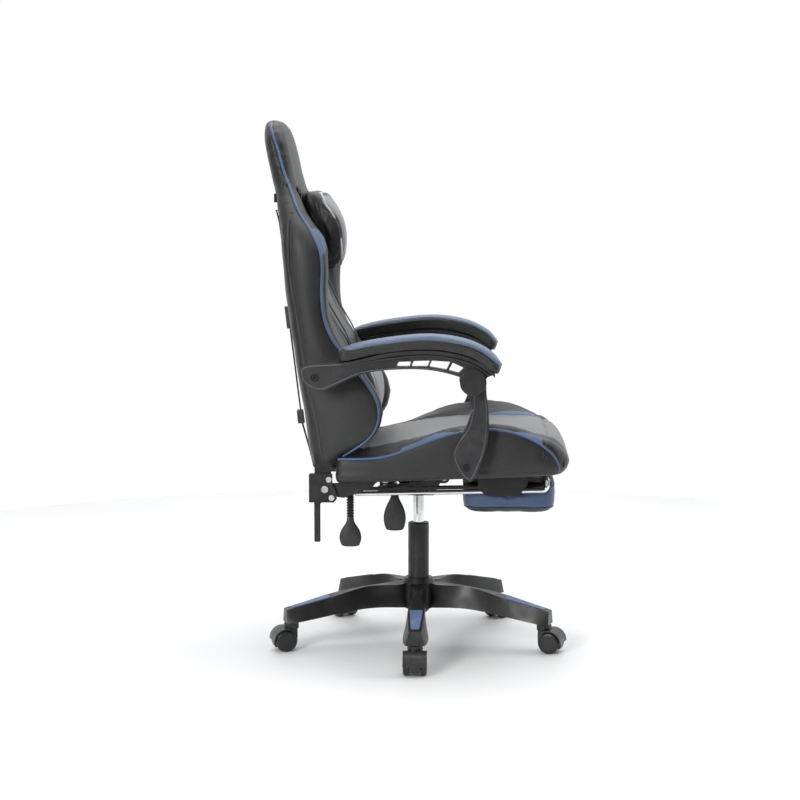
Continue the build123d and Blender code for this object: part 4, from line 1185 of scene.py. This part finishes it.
def build_stage():
    """A pale round floor."""
    made, shader, where = material("pale_floor")
    clouds = ramp(noise(where, 3, 3), 0.3, 0.7)
    tone = mix(clouds, (0.88, 0.88, 0.88), (0.91, 0.91, 0.915))
    relief = bump(noise(where, 300, 2), 0.05, 0.001)
    shade(shader, Base_Color=tone, Roughness=0.55, Normal=relief)
    rim = [(FLOOR_RADIUS * math.cos(turn), FLOOR_RADIUS * math.sin(turn), 0) for turn in turns(64)]
    floor = mesh_object("studio_floor", rim, [tuple(range(len(rim)))])
    floor.data.materials.append(made)


def build_sky():
    """White for the camera; for all else soft light, stronger from above and from the sitter's left."""
    world = bpy.data.worlds.new("studio")
    bpy.context.scene.world = world
    bpy.context.scene.view_settings.view_transform = "Standard"
    world.use_nodes = True
    soft = world.node_tree.nodes["Background"]
    aim = node(soft, "SeparateXYZ", {0: node(soft, "TexCoord").outputs["Generated"]})
    backdrop = ramp(aim.outputs["X"], -0.1, 0.75, 0.10, 0.95)
    ceiling = ramp(aim.outputs["Z"], 0.2, 0.9, 0.0, 0.30)
    feed(soft.inputs["Strength"], calc("ADD", backdrop, ceiling))
    feed(soft.inputs["Color"], (0.97, 0.985, 1.0))
    paper = node(soft, "Background", {"Color": (1, 1, 1), "Strength": 1.0})
    seen = node(soft, "LightPath").outputs["Is Camera Ray"]
    both = node(soft, "MixShader", {0: seen, 1: soft.outputs[0], 2: paper.outputs[0]})
    feed(world.node_tree.nodes["World Output"].inputs["Surface"], both.outputs[0])


def build_lights():
    """Three large soft lamps."""
    lights = (
        ("overhead", (0.3, -0.2, 3.6), 4.0, 4.0, 105, (0, 0, 0.3)),
        ("front", (0.4, -3.6, 2.2), 2.0, 2.0, 38, (0, 0, 0.7)),
        ("side", (-3.4, 1.9, 1.9), 1.0, 1.6, 95, (0, 0.2, 1.0)),
    )
    for name, place, size, high, power, aim in lights:
        lamp = bpy.data.lights.new(name, "AREA")
        lamp.shape = "RECTANGLE"
        lamp.size = size
        lamp.size_y = high
        lamp.energy = power
        holder = bpy.data.objects.new(name, lamp)
        holder.location = place
        holder.rotation_euler = (Vector(aim) - Vector(place)).to_track_quat("-Z", "Y").to_euler()
        bpy.context.scene.collection.objects.link(holder)


def build_camera():
    """A long lens on the sitter's right, just above the head pillow's height."""
    lens = bpy.data.cameras.new("camera")
    lens.lens = 88.7
    lens.sensor_width = 36
    holder = bpy.data.objects.new("camera", lens)
    holder.location = (-4.650, -0.1123, 1.1167)
    yaw, pitch = 0.0337, -0.1142
    aim = Vector((math.cos(pitch) * math.cos(yaw), math.cos(pitch) * math.sin(yaw), math.sin(pitch)))
    holder.rotation_euler = aim.to_track_quat("-Z", "Y").to_euler()
    bpy.context.scene.collection.objects.link(holder)
    bpy.context.scene.camera = holder


build_camera()
build_stage()
build_sky()
build_lights()
finish_cad_nodes()
build_back()
build_seat()
pillow = build_pillow("head_pillow_cover", "head_pillow", "back", HEAD_PROFILE, 0.133, 0.007, 26, 0.05)
pipe_pillow(pillow, "back", HEAD_PROFILE, 0.133 - 0.007, 0.0026)
pillow = build_pillow("lumbar_cover", "lumbar_cushion", "lumbar", LUMBAR_PROFILE, 0.148, 0.016, 22)
pipe_pillow(pillow, "lumbar", LUMBAR_PROFILE, 0.148 - 0.016, 0.0024)
build_footrest()
for side_name, side_sign in SIDES:
    build_arm_pad(side_name, side_sign)
    build_arm_details(side_name, side_sign)
build_sleeve()
build_paddle("height_lever_paddle", "height_lever")
build_paddle("tilt_lever_paddle", "tilt_lever")
build_spring()
